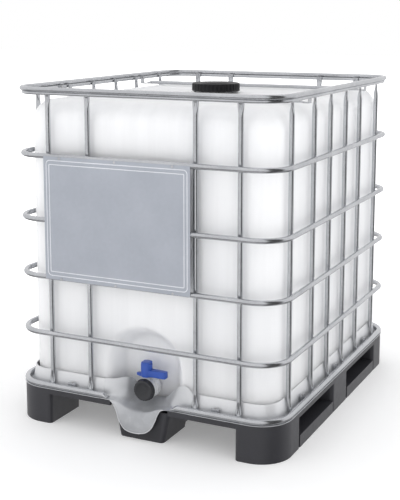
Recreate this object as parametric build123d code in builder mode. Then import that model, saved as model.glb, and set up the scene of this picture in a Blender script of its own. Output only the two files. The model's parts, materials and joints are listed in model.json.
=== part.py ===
"""Intermediate bulk container: a blown bottle in a welded tube cage on a steel tray and plastic pallet.

Millimetres. X runs along the front, Y from front (outlet, -Y) to back, Z up from the floor.
The origin is on the floor at the centre of the footprint.
"""
from build123d import *
from math import atan, copysign, degrees
import os

# ---- driving dimensions: the whole container -------------------------------------------------
HALF_X = 500.0
HALF_Y = 600.0
HEIGHT = 1160.0

# pallet
DECK_TOP = 124.5
DECK_T = 18.5
DECK_SKIN = 5.0
DECK_INSET = 3.0
DECK_R = 107.0
POCKET = 104.0
POCKET_PITCH = 109.0
POCKET_COLUMNS = 8
POCKET_ROWS = 10
FOOT_TOP = DECK_TOP - DECK_T
FOOT_WALL = 5.0
FOOT_EDGE_R = 14.0
CORNER_FOOT_X = 152.0
CORNER_FOOT_Y = 187.0
MID_FOOT_Y = 160.0
CENTRE_FOOT_X = 200.0
END_FOOT_TOP_X = 208.0
END_FOOT_FLOOR_X = 164.0
END_FOOT_FACE = 580.0
RUNNER_H = 42.0
RUNNER_SIDE_X = 96.0
RUNNER_CENTRE_X = 130.0
RUNNER_WALL = 5.0

# steel tray
SHEET = 1.5
TRAY_TOP = DECK_TOP + SHEET
TRAY_R = 110.0
PAN_FOOT_INSET = 28.5
PAN_LEAN = 11.6
PAN_HEIGHT = 56.0
PAN_R = 98.0
CHUTE_HALF = 62.0
CHUTE_DROP = 22.0
CHUTE_BACK = 503.0
CHUTE_LENGTH = HALF_Y - CHUTE_BACK
LIP_BOTTOM = 27.0
LIP_EDGE = ((104.0, TRAY_TOP), (84.0, 110.0), (69.0, 75.0), (48.0, 41.0))
WING_T = 3.0
WING_BACK = 492.0
WING_OUTER_Y = 566.5
LEFT_WING = ((-150.0, 182.0), (-72.0, 196.0), (-44.0, 170.0), 533.0)
RIGHT_WING = ((184.0, 182.0), (152.0, 203.0), (60.0, 140.0), 512.0)
WING_BEND = (146.0, 560.5)

# cage tubes
RING_R = 9.0
RING_WALL = 1.0
RING_INSET = 13.0
RING_CORNER_R = 100.0
RING_HEIGHTS = (320.0, 519.0, 714.0, 931.0)
BASE_TUBE_R = 10.0
BASE_TUBE_Z = TRAY_TOP + BASE_TUBE_R
BASE_TUBE_END = 136.0
BASE_TUBE_TIP = 18.0
RIM_UPPER_W = 18.0
RIM_UPPER_H = 16.0
RIM_UPPER_R = 6.5
RIM_LOWER_W = 15.0
RIM_LOWER_H = 13.0
RIM_LOWER_R = 5.5
RIM_STEP = 5.5
RIM_WALL = 1.2
UPRIGHT_R = 8.5
UPRIGHT_WALL = 1.0
UPRIGHT_FLAT_T = 6.5
UPRIGHT_FLAT_W = 23.0
UPRIGHT_FOOT_Z = 128.0
UPRIGHT_HEAD_Z = 1146.0
UPRIGHT_FLAT_H = 15.0
UPRIGHT_TAPER_H = 34.0
FRONT_UPRIGHTS = (-350.0, -197.0, 197.0, 350.0)
SIDE_UPRIGHTS = (-450.0, -244.0, -82.0, 82.0, 244.0, 450.0)

# cross bars over the bottle
BAR_Y = 300.0
BAR_Z = 1122.0
BAR_R = 7.0
BAR_WALL = 1.0
BAR_TUBE_HALF = 430.0
BAR_PLATE_T = 3.5
BAR_PLATE_W = 25.0
BAR_PLATE_TOP = 1146.0
BAR_SCREW_Z = 1139.5
BAR_FLAT_X = BAR_TUBE_HALF + 24.0
BAR_FLAT_Z = BAR_Z - 5.0

# label plate on the front
PLATE_LEFT = -353.0
PLATE_RIGHT = 191.0
PLATE_BOTTOM = 515.0
PLATE_TOP = 932.0
PLATE_T = 1.0
PLATE_BEAD = 0.9
PLATE_BEAD_W = 4.0
PLATE_BEAD_INSETS = (10.0, 27.0)

# bottle
BOTTLE_X = 457.0
BOTTLE_Y = 557.0
BOTTLE_BOTTOM = TRAY_TOP
BOTTLE_TOP = 1114.0
BOTTLE_R = 84.0
BOTTLE_WALL = 3.0
SHOULDER_R = 72.0
HEEL_R = 42.0
RECESS_HALF = 145.0
RECESS_TOP = 385.0
RECESS_DEPTH = 60.0
NECK_R = 78.0
NECK_BORE_R = 74.0
NECK_TOP = 1143.0
NECK_THREAD_R = 81.0
NECK_THREAD_STEP = 7.0

# lid
LID_R = 88.0
LID_BORE_R = 82.0
LID_BOTTOM = 1121.0
LID_TOP = 1152.0
LID_ROOF = 6.0
LID_GRIPS = 36
LID_GRIP_R = 3.0
LID_GRIP_OUT = 1.2
LID_PANEL_R = 40.0
LID_PANEL_T = 3.0
LID_SEAL_T = 3.0

# outlet valve, on a horizontal axis at the front
OUTLET_Z = 164.0
OUTLET_BORE_R = 25.0
OUTLET_FACE = BOTTLE_Y - RECESS_DEPTH
SPIGOT_END = 517.0
SPIGOT_R = 30.0
GASKET_T = 2.5
BODY_BACK = SPIGOT_END + GASKET_T
BODY_R = 31.0
BODY_FLANGE_R = 33.5
BODY_FLANGE_T = 4.5
BODY_END = 561.5
OUTLET_THREAD_R = 29.0
OUTLET_THREAD_BACK = 549.5
OUTLET_THREAD_CRESTS = (551.0, 555.0, 559.0)
NUT_R = 36.5
NUT_BACK = 503.5
NUT_FRONT = 525.8
NUT_RIBS = 16
STEM_Y = 538.0
STEM_R = 5.0
STEM_BOSS_R = 11.5
STEM_BOSS_TOP = 204.0
STEM_TOP = 250.0
STEM_KEY = 4.0
O_RING_HEIGHTS = (195.0, 199.5)
O_RING_T = 1.8
O_RING_DEPTH = 1.2
DISC_R = 22.0
DISC_T = 5.0
SEAT_BORE_R = 22.4
SEAT_HALF = 6.0
CAP_R = 37.5
CAP_FACE_R = 33.0
CAP_BACK = 550.2
CAP_SKIRT = 8.0
CAP_FACE = 568.0
CAP_FACE_T = 4.0
CAP_BORE_R = 29.6
HUB_R = 20.0
HUB_BOTTOM = 206.0
HUB_TOP = 258.0
ARM_H = 23.0
ARM_LONG = 75.0
ARM_SHORT = 37.0
ARM_W = 13.0

# fasteners
SCREW_HEAD_R = 5.5
SCREW_HEAD_H = 3.0
SCREW_R = 2.5
SCREW_LENGTH = 14.0
SCREW_CORNER_X = 431.0
SCREW_CORNER_Y = 531.0
SCREW_SIDE_X = 446.0
SCREW_BACK_X = 60.0
SCREW_BACK_Y = 546.0
RIVET_HEAD_R = 4.0
RIVET_HEAD_H = 1.4
RIVET_R = 2.0
RIVET_INSET = 62.0

SCREW_FIT = 0.2
DECK_NOTCH_HALF = 108.0
DECK_NOTCH_Y = 62.0
FOOT_NOTCH_HALF = CHUTE_HALF + 8.0
FOOT_NOTCH_Y = 100.0
FOOT_NOTCH_DEPTH = 8.0
DECK_X = HALF_X - DECK_INSET
DECK_Y = HALF_Y - DECK_INSET
FOOT_INNER_Y = DECK_Y - CORNER_FOOT_Y
RUNNER_LENGTH = FOOT_INNER_Y - MID_FOOT_Y / 2
RUNNER_MIDDLE = (FOOT_INNER_Y + MID_FOOT_Y / 2) / 2

RING_X = HALF_X - RING_INSET
RING_Y = HALF_Y - RING_INSET
UPRIGHT_INSET = RING_R + UPRIGHT_R
PAN_X = HALF_X - PAN_FOOT_INSET
PAN_Y = HALF_Y - PAN_FOOT_INSET

os.makedirs("parts", exist_ok=True)


def save(piece, name):
    """Label a finished sub-part and write it."""
    piece.part.label = name
    export_step(piece.part, "parts/" + name + ".step")


def front_section(x, half_y, z):
    """Plane across a tube on the front side: local X points outward, local Y up."""
    return Plane(origin=(x, -half_y, z), x_dir=(0, -1, 0), z_dir=(-1, 0, 0))


def closed_loop(half_x, half_y, corner_r, z, draw_section):
    """Rounded rectangular hoop at height z, made of straight runs and quarter bends."""
    side_plane = Plane(origin=(half_x, corner_r - half_y, z), x_dir=(1, 0, 0), z_dir=(0, -1, 0))
    bend_axis = Axis((half_x - corner_r, corner_r - half_y, z), (0, 0, 1))
    with BuildPart() as hoop:
        with BuildSketch(front_section(0, half_y, z)):
            draw_section()
        extrude(amount=corner_r - half_x)
        with BuildSketch(front_section(half_x - corner_r, half_y, z)):
            draw_section()
        revolve(axis=bend_axis, revolution_arc=90)
        with BuildSketch(side_plane):
            draw_section()
        extrude(amount=corner_r - half_y)
        mirror(about=Plane.YZ)
        mirror(about=Plane.XZ)
    return hoop


# ---- pallet ----------------------------------------------------------------------------------
screw_spots = [(sx * SCREW_CORNER_X, sy * SCREW_CORNER_Y) for sx in (-1, 1) for sy in (-1, 1)]
screw_spots += [(side * SCREW_SIDE_X, 0) for side in (-1, 1)]
screw_spots += [(side * SCREW_BACK_X, SCREW_BACK_Y) for side in (-1, 1)]

with BuildPart() as pallet_deck:
    with BuildSketch(Plane.XY.offset(FOOT_TOP)):
        RectangleRounded(2 * DECK_X, 2 * DECK_Y, DECK_R)
    extrude(amount=DECK_T)
    with BuildSketch(Plane.XY.offset(FOOT_TOP)):
        with GridLocations(POCKET_PITCH, POCKET_PITCH, POCKET_COLUMNS - 2, POCKET_ROWS):
            RectangleRounded(POCKET, POCKET, 8)
        with GridLocations((POCKET_COLUMNS - 1) * POCKET_PITCH, POCKET_PITCH, 2, POCKET_ROWS - 2):
            RectangleRounded(POCKET, POCKET, 8)
    extrude(amount=DECK_T - DECK_SKIN, mode=Mode.SUBTRACT)
    with BuildSketch(Plane.XY.offset(FOOT_TOP)):
        with Locations((0, -DECK_Y + DECK_NOTCH_Y / 2)):
            Rectangle(2 * DECK_NOTCH_HALF, DECK_NOTCH_Y + DECK_INSET)
        with Locations((0, -DECK_Y + FOOT_NOTCH_Y / 2)):
            Rectangle(2 * FOOT_NOTCH_HALF, FOOT_NOTCH_Y + DECK_INSET)
    extrude(amount=DECK_T, mode=Mode.SUBTRACT)
    with BuildSketch(Plane.XY.offset(FOOT_TOP)):
        with Locations(*screw_spots):
            Circle(SCREW_R + SCREW_FIT)
    extrude(amount=DECK_T, mode=Mode.SUBTRACT)
save(pallet_deck, "pallet_deck")


def write_solids(solids, name):
    """Write a sub-part that is several solids meeting face to face."""
    piece = Compound(solids)
    piece.label = name
    export_step(piece, "parts/" + name + ".step")


def divided(solids, planes):
    """Cut solids along planes, so that each piece is nearly convex."""
    for plane in planes:
        halves = []
        for solid in solids:
            for side in (Keep.TOP, Keep.BOTTOM):
                half = solid.split(plane, side)
                if isinstance(half, list):
                    halves += half
                elif half is not None:
                    halves += half.solids()
        solids = halves
    return solids


def across_x(*places):
    """Planes across X."""
    return [Plane.YZ.offset(place) for place in places]


def across_y(*places):
    """Planes across Y."""
    return [Plane.XZ.offset(-place) for place in places]


def across_z(*places):
    """Planes across Z."""
    return [Plane.XY.offset(place) for place in places]


def sectors(base, origin, count):
    """Planes through an axis that cut a ring into equal sectors. The axis is the base plane's normal."""
    axis = base.z_dir
    cuts = []
    for number in range(count // 2):
        spoke = base.x_dir.rotate(Axis((0, 0, 0), axis), 360 * number / count)
        cuts.append(Plane(origin=origin, x_dir=axis, z_dir=spoke))
    return cuts


def middle_within(solid, low, high):
    """True if the middle of a solid's bounding box lies between two corners."""
    middle = solid.bounding_box().center()
    return all(a < b < c for a, b, c in zip(low, (middle.X, middle.Y, middle.Z), high))


def straight_foot(x_low, x_high, y_low, y_high):
    """Foot with upright walls, open at the top, its outer corner following the deck."""
    with BuildPart() as foot:
        with BuildSketch():
            with Locations(((x_low + x_high) / 2, (y_low + y_high) / 2)):
                RectangleRounded(x_high - x_low, y_high - y_low, FOOT_EDGE_R)
            RectangleRounded(2 * DECK_X, 2 * DECK_Y, DECK_R, mode=Mode.INTERSECT)
        extrude(amount=FOOT_TOP)
        with BuildSketch(Plane.XY.offset(FOOT_WALL)):
            with Locations(((x_low + x_high) / 2, (y_low + y_high) / 2)):
                RectangleRounded(x_high - x_low - 2 * FOOT_WALL, y_high - y_low - 2 * FOOT_WALL,
                                 FOOT_EDGE_R - FOOT_WALL)
            RectangleRounded(2 * (DECK_X - FOOT_WALL), 2 * (DECK_Y - FOOT_WALL), DECK_R - FOOT_WALL,
                             mode=Mode.INTERSECT)
        extrude(amount=FOOT_TOP, mode=Mode.SUBTRACT)
    return foot.part


def tapered_foot(y_low, y_high):
    """Centre foot at the front or back, narrower at the floor, open at the top."""
    with BuildPart() as foot:
        for wall, floor in ((0.0, 0.0), (FOOT_WALL, FOOT_WALL)):
            for z, width in ((floor, END_FOOT_FLOOR_X), (FOOT_TOP, END_FOOT_TOP_X)):
                with BuildSketch(Plane.XY.offset(z)):
                    with Locations((0, (y_low + y_high) / 2)):
                        RectangleRounded(width - 2 * wall, y_high - y_low - 2 * wall, FOOT_EDGE_R - wall)
            loft(mode=Mode.SUBTRACT if wall else Mode.ADD)
        with BuildSketch(Plane.XY.offset(FOOT_TOP)):
            with Locations((0, -DECK_Y + FOOT_NOTCH_Y / 2)):
                Rectangle(2 * FOOT_NOTCH_HALF, FOOT_NOTCH_Y + DECK_INSET)
        extrude(amount=-FOOT_NOTCH_DEPTH, mode=Mode.SUBTRACT)
    return foot.part


def runner(name, x_low, x_high):
    """Two floor runners between the feet of one row, hollow underneath."""
    with BuildPart() as piece:
        with BuildSketch():
            with Locations(*[((x_low + x_high) / 2, side * RUNNER_MIDDLE) for side in (-1, 1)]):
                Rectangle(x_high - x_low, RUNNER_LENGTH)
        extrude(amount=RUNNER_H)
        with BuildSketch():
            with Locations(*[((x_low + x_high) / 2, side * RUNNER_MIDDLE) for side in (-1, 1)]):
                Rectangle(x_high - x_low - 2 * RUNNER_WALL, RUNNER_LENGTH - 2 * RUNNER_WALL)
        extrude(amount=RUNNER_H - RUNNER_WALL, mode=Mode.SUBTRACT)
    save(piece, name)


for row_name, foot_low, foot_high in (("left", -DECK_X, -DECK_X + CORNER_FOOT_X),
                                      ("right", DECK_X - CORNER_FOOT_X, DECK_X)):
    with BuildPart() as feet:
        add(straight_foot(foot_low, foot_high, -DECK_Y, -FOOT_INNER_Y))
        add(straight_foot(foot_low, foot_high, -MID_FOOT_Y / 2, MID_FOOT_Y / 2))
        add(straight_foot(foot_low, foot_high, FOOT_INNER_Y, DECK_Y))
    save(feet, "feet_" + row_name)

with BuildPart() as feet_centre:
    add(tapered_foot(-END_FOOT_FACE, -FOOT_INNER_Y))
    add(straight_foot(-CENTRE_FOOT_X / 2, CENTRE_FOOT_X / 2, -MID_FOOT_Y / 2, MID_FOOT_Y / 2))
    add(tapered_foot(FOOT_INNER_Y, END_FOOT_FACE))
save(feet_centre, "feet_centre")

runner("runner_left", -DECK_X, -DECK_X + RUNNER_SIDE_X)
runner("runner_centre", -RUNNER_CENTRE_X / 2, RUNNER_CENTRE_X / 2)
runner("runner_right", DECK_X - RUNNER_SIDE_X, DECK_X)

# ---- steel tray ------------------------------------------------------------------------------
PAN_TAPER = degrees(atan(PAN_LEAN / PAN_HEIGHT))


def chute_curve(drop, half):
    """Outline of the drain channel in the XZ plane, below the tray floor."""
    with BuildSketch(Plane.XZ.offset(CHUTE_BACK)) as outline:
        with BuildLine():
            ThreePointArc((-half, TRAY_TOP), (0, TRAY_TOP - drop), (half, TRAY_TOP))
            Line((half, TRAY_TOP), (-half, TRAY_TOP))
        make_face()
    return outline.sketch


def lip_outline():
    """The drip lip: a deep rounded tongue that hangs from the front flange."""
    with BuildSketch(Plane.XZ.offset(HALF_Y)) as outline:
        with BuildLine():
            Spline(*[(-x, z) for x, z in LIP_EDGE], (0, LIP_BOTTOM), *reversed(LIP_EDGE))
            Line(LIP_EDGE[0], (-LIP_EDGE[0][0], TRAY_TOP))
        make_face()
    return outline.sketch


with BuildPart() as base_tray:
    with BuildSketch(Plane.XY.offset(DECK_TOP)):
        RectangleRounded(2 * HALF_X, 2 * HALF_Y, TRAY_R)
    extrude(amount=SHEET)
    with BuildSketch(Plane.XY.offset(TRAY_TOP)):
        RectangleRounded(2 * PAN_X, 2 * PAN_Y, PAN_R)
    extrude(amount=PAN_HEIGHT, taper=PAN_TAPER)
    with BuildSketch(Plane.XY.offset(TRAY_TOP)):
        RectangleRounded(2 * (PAN_X - SHEET), 2 * (PAN_Y - SHEET), PAN_R - SHEET)
    extrude(amount=PAN_HEIGHT, taper=PAN_TAPER, mode=Mode.SUBTRACT)
    with BuildSketch(Plane.XY.offset(TRAY_TOP)):
        with Locations(((LEFT_WING[0][0] + RIGHT_WING[0][0]) / 2, -PAN_Y + 10)):
            Rectangle(RIGHT_WING[0][0] - LEFT_WING[0][0], 60)
    extrude(amount=PAN_HEIGHT, mode=Mode.SUBTRACT)
    extrude(chute_curve(CHUTE_DROP + SHEET, CHUTE_HALF + SHEET), CHUTE_LENGTH)
    extrude(lip_outline(), -SHEET)
    extrude(chute_curve(CHUTE_DROP, CHUTE_HALF), CHUTE_LENGTH, mode=Mode.SUBTRACT)
    with BuildSketch(Plane.XY.offset(DECK_TOP - 1)):
        with Locations(*screw_spots):
            Circle(SCREW_R + SCREW_FIT)
    extrude(amount=SHEET + 2, mode=Mode.SUBTRACT)

with BuildPart() as wings:
    with BuildSketch(Plane.XY.offset(DECK_TOP)):
        for outer, peak, inner, inner_y in (LEFT_WING, RIGHT_WING):
            with BuildLine():
                bend_x = copysign(WING_BEND[0], outer[0])
                Polyline((outer[0], -WING_OUTER_Y), (bend_x, -WING_BEND[1]), (inner[0], -inner_y),
                         (inner[0], -inner_y - WING_T), (bend_x, -WING_BEND[1] - WING_T),
                         (outer[0], -WING_OUTER_Y - WING_T), close=True)
            make_face()
    extrude(amount=RIGHT_WING[1][1] - DECK_TOP)
    with BuildSketch(Plane.XZ.offset(WING_BACK)):
        for outer, peak, inner, inner_y in (LEFT_WING, RIGHT_WING):
            with BuildLine():
                Spline(outer, peak, inner)
                Polyline(inner, (inner[0], DECK_TOP), (outer[0], DECK_TOP), outer)
            make_face()
    extrude(amount=HALF_Y - WING_BACK, mode=Mode.INTERSECT)

with BuildPart() as finished_tray:
    add(base_tray.part)
    add(wings.part)

wall_and_wings = across_x(LEFT_WING[0][0], RIGHT_WING[0][0], PAN_R - PAN_X, PAN_X - PAN_R)
corner_starts = across_y(PAN_R - PAN_Y, PAN_Y - PAN_R)
chute_strips = across_x(-CHUTE_HALF - SHEET, -CHUTE_HALF / 2, 0, CHUTE_HALF / 2, CHUTE_HALF + SHEET)
tray_solids = []
for layer in divided(finished_tray.part.solids(), across_z(TRAY_TOP)):
    if layer.bounding_box().center().Z > TRAY_TOP:
        tray_solids += divided([layer], wall_and_wings + corner_starts)
        continue
    for strip in divided([layer], across_y(-CHUTE_BACK, SHEET - HALF_Y)):
        if strip.bounding_box().center().Y > -CHUTE_BACK:
            tray_solids.append(strip)
        elif strip.bounding_box().center().Y > SHEET - HALF_Y:
            tray_solids += divided([strip], chute_strips)
        else:
            tray_solids += divided([strip], across_x(-LIP_EDGE[0][0], LIP_EDGE[0][0]))
write_solids(tray_solids, "base_tray")

with BuildPart() as tray_screws:
    with BuildSketch(Plane.XY.offset(TRAY_TOP)):
        with Locations(*screw_spots):
            Circle(SCREW_HEAD_R)
    extrude(amount=SCREW_HEAD_H)
    chamfer(tray_screws.faces().filter_by(Axis.Z).group_by(Axis.Z)[-1].edges(), 1.0)
    with BuildSketch(Plane.XY.offset(TRAY_TOP)):
        with Locations(*screw_spots):
            Circle(SCREW_R)
    extrude(amount=-SCREW_LENGTH)
save(tray_screws, "tray_screws")

# ---- cage: base tube, rings and rim ------------------------------------------------------------
BASE_X = HALF_X - BASE_TUBE_R
BASE_Y = HALF_Y - BASE_TUBE_R


def base_tube_section():
    """Round tube of the lowest loop."""
    Circle(BASE_TUBE_R)
    Circle(BASE_TUBE_R - RING_WALL, mode=Mode.SUBTRACT)


def ring_section():
    """Round tube of the four middle loops."""
    Circle(RING_R)
    Circle(RING_R - RING_WALL, mode=Mode.SUBTRACT)


def rim_section():
    """Stacking rim: an upper lobe and a narrower lower lobe set inward, with a groove between."""
    lobes = ((RIM_UPPER_W, RIM_UPPER_H, RIM_UPPER_R, 0.0, 0.0),
             (RIM_LOWER_W, RIM_LOWER_H, RIM_LOWER_R, -RIM_STEP, -RIM_LOWER_DROP))
    for width, height, corner_r, out, up in lobes:
        with Locations((out, up)):
            RectangleRounded(width, height, corner_r)
    for width, height, corner_r, out, up in lobes:
        with Locations((out, up)):
            RectangleRounded(width - 2 * RIM_WALL, height - 4 * RIM_WALL, corner_r - 2 * RIM_WALL,
                             mode=Mode.SUBTRACT)


base_tips = []
for end in (-1, 1):
    with BuildPart() as base_tip:
        with BuildSketch(front_section(end * BASE_TUBE_END, BASE_Y, BASE_TUBE_Z)):
            Circle(BASE_TUBE_R)
        with BuildSketch(front_section(end * (BASE_TUBE_END - BASE_TUBE_TIP), BASE_Y, TRAY_TOP + 3)):
            RectangleRounded(2 * BASE_TUBE_R - 1, 6, 2.5)
        loft()
    base_tips.append(base_tip.part)

with BuildPart() as base_ring:
    add(closed_loop(BASE_X, BASE_Y, RING_CORNER_R, BASE_TUBE_Z, base_tube_section).part)
    with BuildSketch(front_section(BASE_TUBE_END, BASE_Y, BASE_TUBE_Z)):
        Rectangle(4 * BASE_TUBE_R, 4 * BASE_TUBE_R)
    extrude(amount=2 * BASE_TUBE_END, mode=Mode.SUBTRACT)
    add(base_tips)
save(base_ring, "base_ring")

for number, ring_z in enumerate(RING_HEIGHTS, start=1):
    save(closed_loop(RING_X, RING_Y, RING_CORNER_R, ring_z, ring_section), "ring_" + str(number))

RIM_UPPER_Z = HEIGHT - RIM_UPPER_H / 2
RIM_LOWER_DROP = (RIM_UPPER_H + RIM_LOWER_H) / 2 - 2.0
RIM_INNER_X = RING_X - RIM_STEP - RIM_LOWER_W / 2

top_rim = closed_loop(RING_X, RING_Y, RING_CORNER_R, RIM_UPPER_Z, rim_section)
save(top_rim, "top_rim")


# ---- cage: uprights ----------------------------------------------------------------------------
def upright(name, x, y, outward):
    """One cage tube, flattened at both ends where it is welded inside the rim and the base tube."""
    def cross(z):
        return Plane(origin=(x, y, z), x_dir=outward, z_dir=(0, 0, 1))

    foot_shift = RING_INSET + UPRIGHT_INSET - 2 * BASE_TUBE_R - UPRIGHT_FLAT_T / 2
    head_shift = UPRIGHT_INSET - RIM_STEP - RIM_LOWER_W / 2 - UPRIGHT_FLAT_T / 2
    ends = ((UPRIGHT_FOOT_Z, 1, foot_shift), (UPRIGHT_HEAD_Z, -1, head_shift))
    tube_low = UPRIGHT_FOOT_Z + UPRIGHT_FLAT_H + UPRIGHT_TAPER_H
    tube_high = UPRIGHT_HEAD_Z - UPRIGHT_FLAT_H - UPRIGHT_TAPER_H
    tapers = []
    for end_z, way, shift in ends:
        flat_z = end_z + way * UPRIGHT_FLAT_H
        with BuildPart() as taper:
            with BuildSketch(cross(flat_z)):
                with Locations((shift, 0)):
                    RectangleRounded(UPRIGHT_FLAT_T, UPRIGHT_FLAT_W, 3)
            with BuildSketch(cross(flat_z + way * UPRIGHT_TAPER_H)):
                Circle(UPRIGHT_R)
            loft()
            with BuildSketch(cross(end_z)):
                with Locations((shift, 0)):
                    RectangleRounded(UPRIGHT_FLAT_T, UPRIGHT_FLAT_W, 3)
            extrude(amount=way * UPRIGHT_FLAT_H)
        tapers.append(taper.part)
    with BuildPart() as tube:
        with BuildSketch(cross(tube_low)):
            Circle(UPRIGHT_R)
            Circle(UPRIGHT_R - UPRIGHT_WALL, mode=Mode.SUBTRACT)
        extrude(amount=tube_high - tube_low)
        add(tapers)
    save(tube, name)


for number, place in enumerate(FRONT_UPRIGHTS, start=1):
    upright("front_upright_" + str(number), place, -RING_Y + UPRIGHT_INSET, (0, -1, 0))
    upright("back_upright_" + str(number), place, RING_Y - UPRIGHT_INSET, (0, 1, 0))
for number, place in enumerate(SIDE_UPRIGHTS, start=1):
    upright("left_upright_" + str(number), -RING_X + UPRIGHT_INSET, place, (-1, 0, 0))
    upright("right_upright_" + str(number), RING_X - UPRIGHT_INSET, place, (1, 0, 0))

# ---- clips that hold the cage to the tray --------------------------------------------------------
CLIP_T = 6.0
CLIP_W = 30.0
CLIP_H = 26.0
CLIP_INSET = 2 * BASE_TUBE_R + CLIP_T / 2
CLIP_SIDE_Y = (-340.0, 0.0, 340.0)
CLIP_END_X = (-270.0, 270.0)
clip_places = [(side * (HALF_X - CLIP_INSET), y, 90) for side in (-1, 1) for y in CLIP_SIDE_Y]
clip_places += [(x, side * (HALF_Y - CLIP_INSET), 0) for side in (-1, 1) for x in CLIP_END_X]

with BuildPart() as cage_clips:
    with BuildSketch(Plane.XY.offset(TRAY_TOP)):
        for x, y, turn in clip_places:
            with Locations(Location((x, y), turn)):
                RectangleRounded(CLIP_W, CLIP_T, 2)
    extrude(amount=CLIP_H)
    with BuildSketch(Plane.XY.offset(TRAY_TOP)):
        with Locations(*[(x, y) for x, y, turn in clip_places]):
            Circle(RIVET_R + SCREW_FIT)
    extrude(amount=CLIP_H, mode=Mode.SUBTRACT)
save(cage_clips, "cage_clips")

with BuildPart() as clip_screws:
    with BuildSketch(Plane.XY.offset(TRAY_TOP + CLIP_H)):
        with Locations(*[(x, y) for x, y, turn in clip_places]):
            Circle(CLIP_T / 2)
    extrude(amount=2.5)
    with BuildSketch(Plane.XY.offset(TRAY_TOP + CLIP_H)):
        with Locations(*[(x, y) for x, y, turn in clip_places]):
            Circle(RIVET_R)
    extrude(amount=-CLIP_H)
save(clip_screws, "clip_screws")


# ---- cross bars ----------------------------------------------------------------------------------
def cross_bar(name, y):
    """Tube across the bottle's shoulders, its flattened ends turned up against the rim."""
    plate_x = RIM_INNER_X - BAR_PLATE_T / 2
    half_t = BAR_PLATE_T / 2
    ends = []
    for side in (-1, 1):
        with BuildPart() as bar_end:
            with BuildSketch(Plane(origin=(side * BAR_TUBE_HALF, y, BAR_Z), x_dir=(0, 1, 0),
                                   z_dir=(side, 0, 0))):
                Circle(BAR_R)
            with BuildSketch(Plane(origin=(side * BAR_FLAT_X, y, BAR_FLAT_Z), x_dir=(0, 1, 0),
                                   z_dir=(side, 0, 0))):
                Rectangle(BAR_PLATE_W, BAR_PLATE_T)
            loft()
        with BuildPart() as bar_plate:
            with BuildSketch(Plane.XZ.offset(-y)):
                with BuildLine():
                    Polyline((side * BAR_FLAT_X, BAR_FLAT_Z - half_t),
                             (side * (plate_x + half_t), BAR_FLAT_Z - half_t),
                             (side * (plate_x + half_t), BAR_PLATE_TOP),
                             (side * (plate_x - half_t), BAR_PLATE_TOP),
                             (side * (plate_x - half_t), BAR_FLAT_Z + half_t),
                             (side * BAR_FLAT_X, BAR_FLAT_Z + half_t), close=True)
                make_face()
            extrude(amount=BAR_PLATE_W / 2, both=True)
            with BuildSketch(Plane(origin=(side * plate_x, y, BAR_SCREW_Z), x_dir=(0, 1, 0),
                                   z_dir=(side, 0, 0))):
                Circle(SCREW_R + SCREW_FIT)
            extrude(amount=BAR_PLATE_T, both=True, mode=Mode.SUBTRACT)
        ends += [bar_end.part, bar_plate.part]
    with BuildPart() as bar:
        with BuildSketch(Plane(origin=(-BAR_TUBE_HALF, y, BAR_Z), x_dir=(0, 1, 0), z_dir=(1, 0, 0))):
            Circle(BAR_R)
            Circle(BAR_R - BAR_WALL, mode=Mode.SUBTRACT)
        extrude(amount=2 * BAR_TUBE_HALF)
        add(ends)
    save(bar, name)


cross_bar("cross_bar_front", -BAR_Y)
cross_bar("cross_bar_back", BAR_Y)

with BuildPart() as cross_bar_screws:
    for side in (-1, 1):
        for y in (-BAR_Y, BAR_Y):
            head_x = side * (RIM_INNER_X - BAR_PLATE_T)
            with BuildSketch(Plane(origin=(head_x, y, BAR_SCREW_Z), x_dir=(0, 1, 0), z_dir=(-side, 0, 0))):
                Circle(SCREW_HEAD_R)
            extrude(amount=SCREW_HEAD_H)
            with BuildSketch(Plane(origin=(head_x, y, BAR_SCREW_Z), x_dir=(0, 1, 0), z_dir=(side, 0, 0))):
                Circle(SCREW_R)
            extrude(amount=9)
save(cross_bar_screws, "cross_bar_screws")

# ---- label plate ---------------------------------------------------------------------------------
PLATE_BACK = RING_Y + RING_R
PLATE_X = (PLATE_LEFT + PLATE_RIGHT) / 2
PLATE_Z = (PLATE_BOTTOM + PLATE_TOP) / 2
PLATE_W = PLATE_RIGHT - PLATE_LEFT
PLATE_H = PLATE_TOP - PLATE_BOTTOM
rivet_columns = (PLATE_LEFT + RIVET_INSET, PLATE_X, PLATE_RIGHT - RIVET_INSET)
rivet_rows = (RING_HEIGHTS[1], RING_HEIGHTS[3] - 4)
rivet_spots = [(x, z) for x in rivet_columns for z in rivet_rows]

with BuildPart() as label_plate:
    with BuildSketch(Plane.XZ.offset(PLATE_BACK)):
        with Locations((PLATE_X, PLATE_Z)):
            RectangleRounded(PLATE_W, PLATE_H, 4)
    extrude(amount=PLATE_T)
    with BuildSketch(Plane.XZ.offset(PLATE_BACK + PLATE_T)):
        for inset in PLATE_BEAD_INSETS:
            with Locations((PLATE_X, PLATE_Z)):
                RectangleRounded(PLATE_W - 2 * inset, PLATE_H - 2 * inset, 12)
                edge = 2 * (inset + PLATE_BEAD_W)
                RectangleRounded(PLATE_W - edge, PLATE_H - edge, 8, mode=Mode.SUBTRACT)
    extrude(amount=PLATE_BEAD)
    with BuildSketch(Plane.XZ.offset(PLATE_BACK)):
        with Locations(*rivet_spots):
            Circle(RIVET_R)
    extrude(amount=3, mode=Mode.SUBTRACT)
save(label_plate, "label_plate")

with BuildPart() as label_rivets:
    with BuildSketch(Plane.XZ.offset(PLATE_BACK + PLATE_T)):
        with Locations(*rivet_spots):
            Circle(RIVET_HEAD_R)
    extrude(amount=RIVET_HEAD_H)
    with BuildSketch(Plane.XZ.offset(PLATE_BACK + PLATE_T)):
        with Locations(*rivet_spots):
            Circle(RIVET_R)
    extrude(amount=-5)
save(label_rivets, "label_rivets")


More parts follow.
